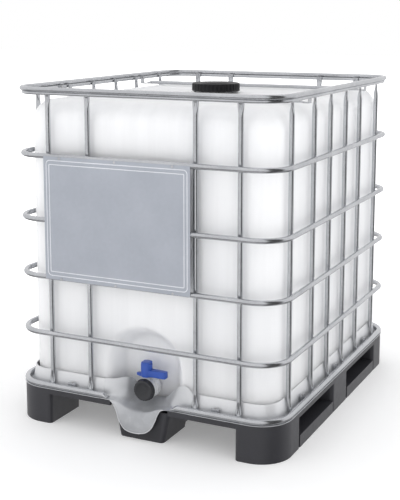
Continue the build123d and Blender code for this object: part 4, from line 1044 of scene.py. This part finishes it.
FUNNEL_RIGHT = (
    ((0.000, -0.4990, 0.1270), (0.020, -0.4990, 0.1275), (0.046, -0.5050, 0.1320), (0.072, -0.5280, 0.1460),
     (0.104, -0.5450, 0.1740), (0.134, -0.5575, 0.1985), (0.158, -0.5602, 0.2025), (0.184, -0.5600, 0.1822)),
    ((0.000, -0.5200, 0.1130), (0.024, -0.5210, 0.1140), (0.050, -0.5270, 0.1200), (0.078, -0.5440, 0.1310),
     (0.106, -0.5570, 0.1480), (0.135, -0.5640, 0.1650), (0.160, -0.5665, 0.1690), (0.184, -0.5665, 0.1560)),
    ((0.000, -0.5520, 0.1050), (0.026, -0.5520, 0.1070), (0.052, -0.5560, 0.1130), (0.078, -0.5620, 0.1220),
     (0.104, -0.5690, 0.1300), (0.134, -0.5715, 0.1340), (0.160, -0.5715, 0.1335), (0.184, -0.5710, 0.1275)),
    ((0.000, -0.5780, 0.1010), (0.025, -0.5780, 0.1035), (0.048, -0.5800, 0.1110), (0.068, -0.5830, 0.1195),
     (0.088, -0.5850, 0.1258), (0.115, -0.5860, 0.1264), (0.150, -0.5860, 0.1264), (0.184, -0.5860, 0.1262)),
    ((0.000, -0.5920, 0.0900), (0.024, -0.5920, 0.0950), (0.045, -0.5925, 0.1060), (0.062, -0.5930, 0.1160),
     (0.078, -0.5940, 0.1234), (0.100, -0.5955, 0.1256), (0.140, -0.5965, 0.1262), (0.184, -0.5970, 0.1262)),
    ((0.000, -0.5972, 0.0560), (0.025, -0.5972, 0.0640), (0.046, -0.5972, 0.0800), (0.061, -0.5972, 0.1000),
     (0.075, -0.5974, 0.1165), (0.093, -0.5976, 0.1242), (0.130, -0.5976, 0.1255), (0.184, -0.5976, 0.1257)),
    ((0.000, -0.5974, 0.0270), (0.026, -0.5974, 0.0350), (0.047, -0.5974, 0.0530), (0.061, -0.5974, 0.0800),
     (0.073, -0.5974, 0.1080), (0.088, -0.5976, 0.1232), (0.122, -0.5976, 0.1248), (0.184, -0.5976, 0.1250)))
ACROSS = 40
DOWN = 34


def funnel_point(number, s):
    """Place on one guide line; s runs from -1 at the left to 1 at the right."""
    guide = (FUNNEL_RIGHT if s >= 0 else FUNNEL_LEFT)[number]
    flip = 1 if s >= 0 else -1
    return spline([(flip * x, y, z) for x, y, z in guide], abs(s))


def outlet_funnel():
    """Sheet pressed into two humps and a valley that runs out into the hanging drip lip."""
    vertices = []
    columns = 2 * ACROSS + 1
    for j in range(DOWN + 1):
        for i in range(columns):
            s = (i - ACROSS) / ACROSS
            p = spline([funnel_point(number, s) for number in range(len(FUNNEL_LEFT))], j / DOWN)
            dent = noise.noise(Vector((p.x * 14, p.y * 20 + 3, p.z * 14)))
            ripple = 0.0011 * dent * smooth(min(j, DOWN - j) / 5) * smooth((1 - abs(s)) / 0.15)
            vertices.append(Vector((p.x, max(p.y + ripple, -0.5978), p.z + ripple)))
    faces = []
    for j in range(DOWN):
        for i in range(columns - 1):
            a = j * columns + i
            faces.append((a, a + columns, a + columns + 1, a + 1))
    made = piece("base_tray_funnel", vertices, faces, "base_tray")
    # painted shade: the funnel takes the darker copy of the tray sheet, which is paler towards its sides
    refinish(made, FUNNEL_PAINTED_SHADE_STEEL)
    thicken(made, TRAY_METAL)


outlet_funnel()


def rod(name, path, radius, node, sides=10):
    """Round wire along a path."""
    vertices = []
    for i, point in enumerate(path):
        ahead = path[min(i + 1, len(path) - 1)] - path[max(i - 1, 0)]
        ahead.normalize()
        side = ahead.cross(Vector((0, 1, 0)))
        side.normalize()
        other = ahead.cross(side)
        for k in range(sides):
            angle = 2 * math.pi * k / sides
            vertices.append(point + (side * math.cos(angle) + other * math.sin(angle)) * radius)
    piece(name, vertices, capped_tube(len(path), sides), node)


HEM_REACH = 0.74
HEM_R = 0.0017
HEM_Y = -0.5981
hem_line = [funnel_point(len(FUNNEL_LEFT) - 1, step / 40 * HEM_REACH) for step in range(-40, 41)]
rod("base_tray_hem", [Vector((point.x, HEM_Y, point.z)) for point in hem_line], HEM_R, "base_tray")


def tray_floor():
    """The hidden floor of the tray between the deck and the bottle."""
    rows = loop_points(HALF_X - 0.004, HALF_Y - 0.004, TRAY_CORNER - 0.004, 0.02)
    vertices = []
    for x, y, out_x, out_y in rows:
        if y < -0.47 and -GAP_LEFT < x < GAP_RIGHT:
            y = -0.500
        vertices.append((x, y, FLANGE_Z - 0.0002))
    vertices += [(x, y, FLANGE_Z - 0.0013) for x, y, z in vertices]
    count = len(rows)
    faces = [tuple(range(count)), tuple(reversed(range(count, 2 * count)))]
    for k in range(count):
        m = (k + 1) % count
        faces.append((k, k + count, m + count, m))
    piece("base_tray_floor", vertices, faces, "base_tray", soft=False)


tray_floor()
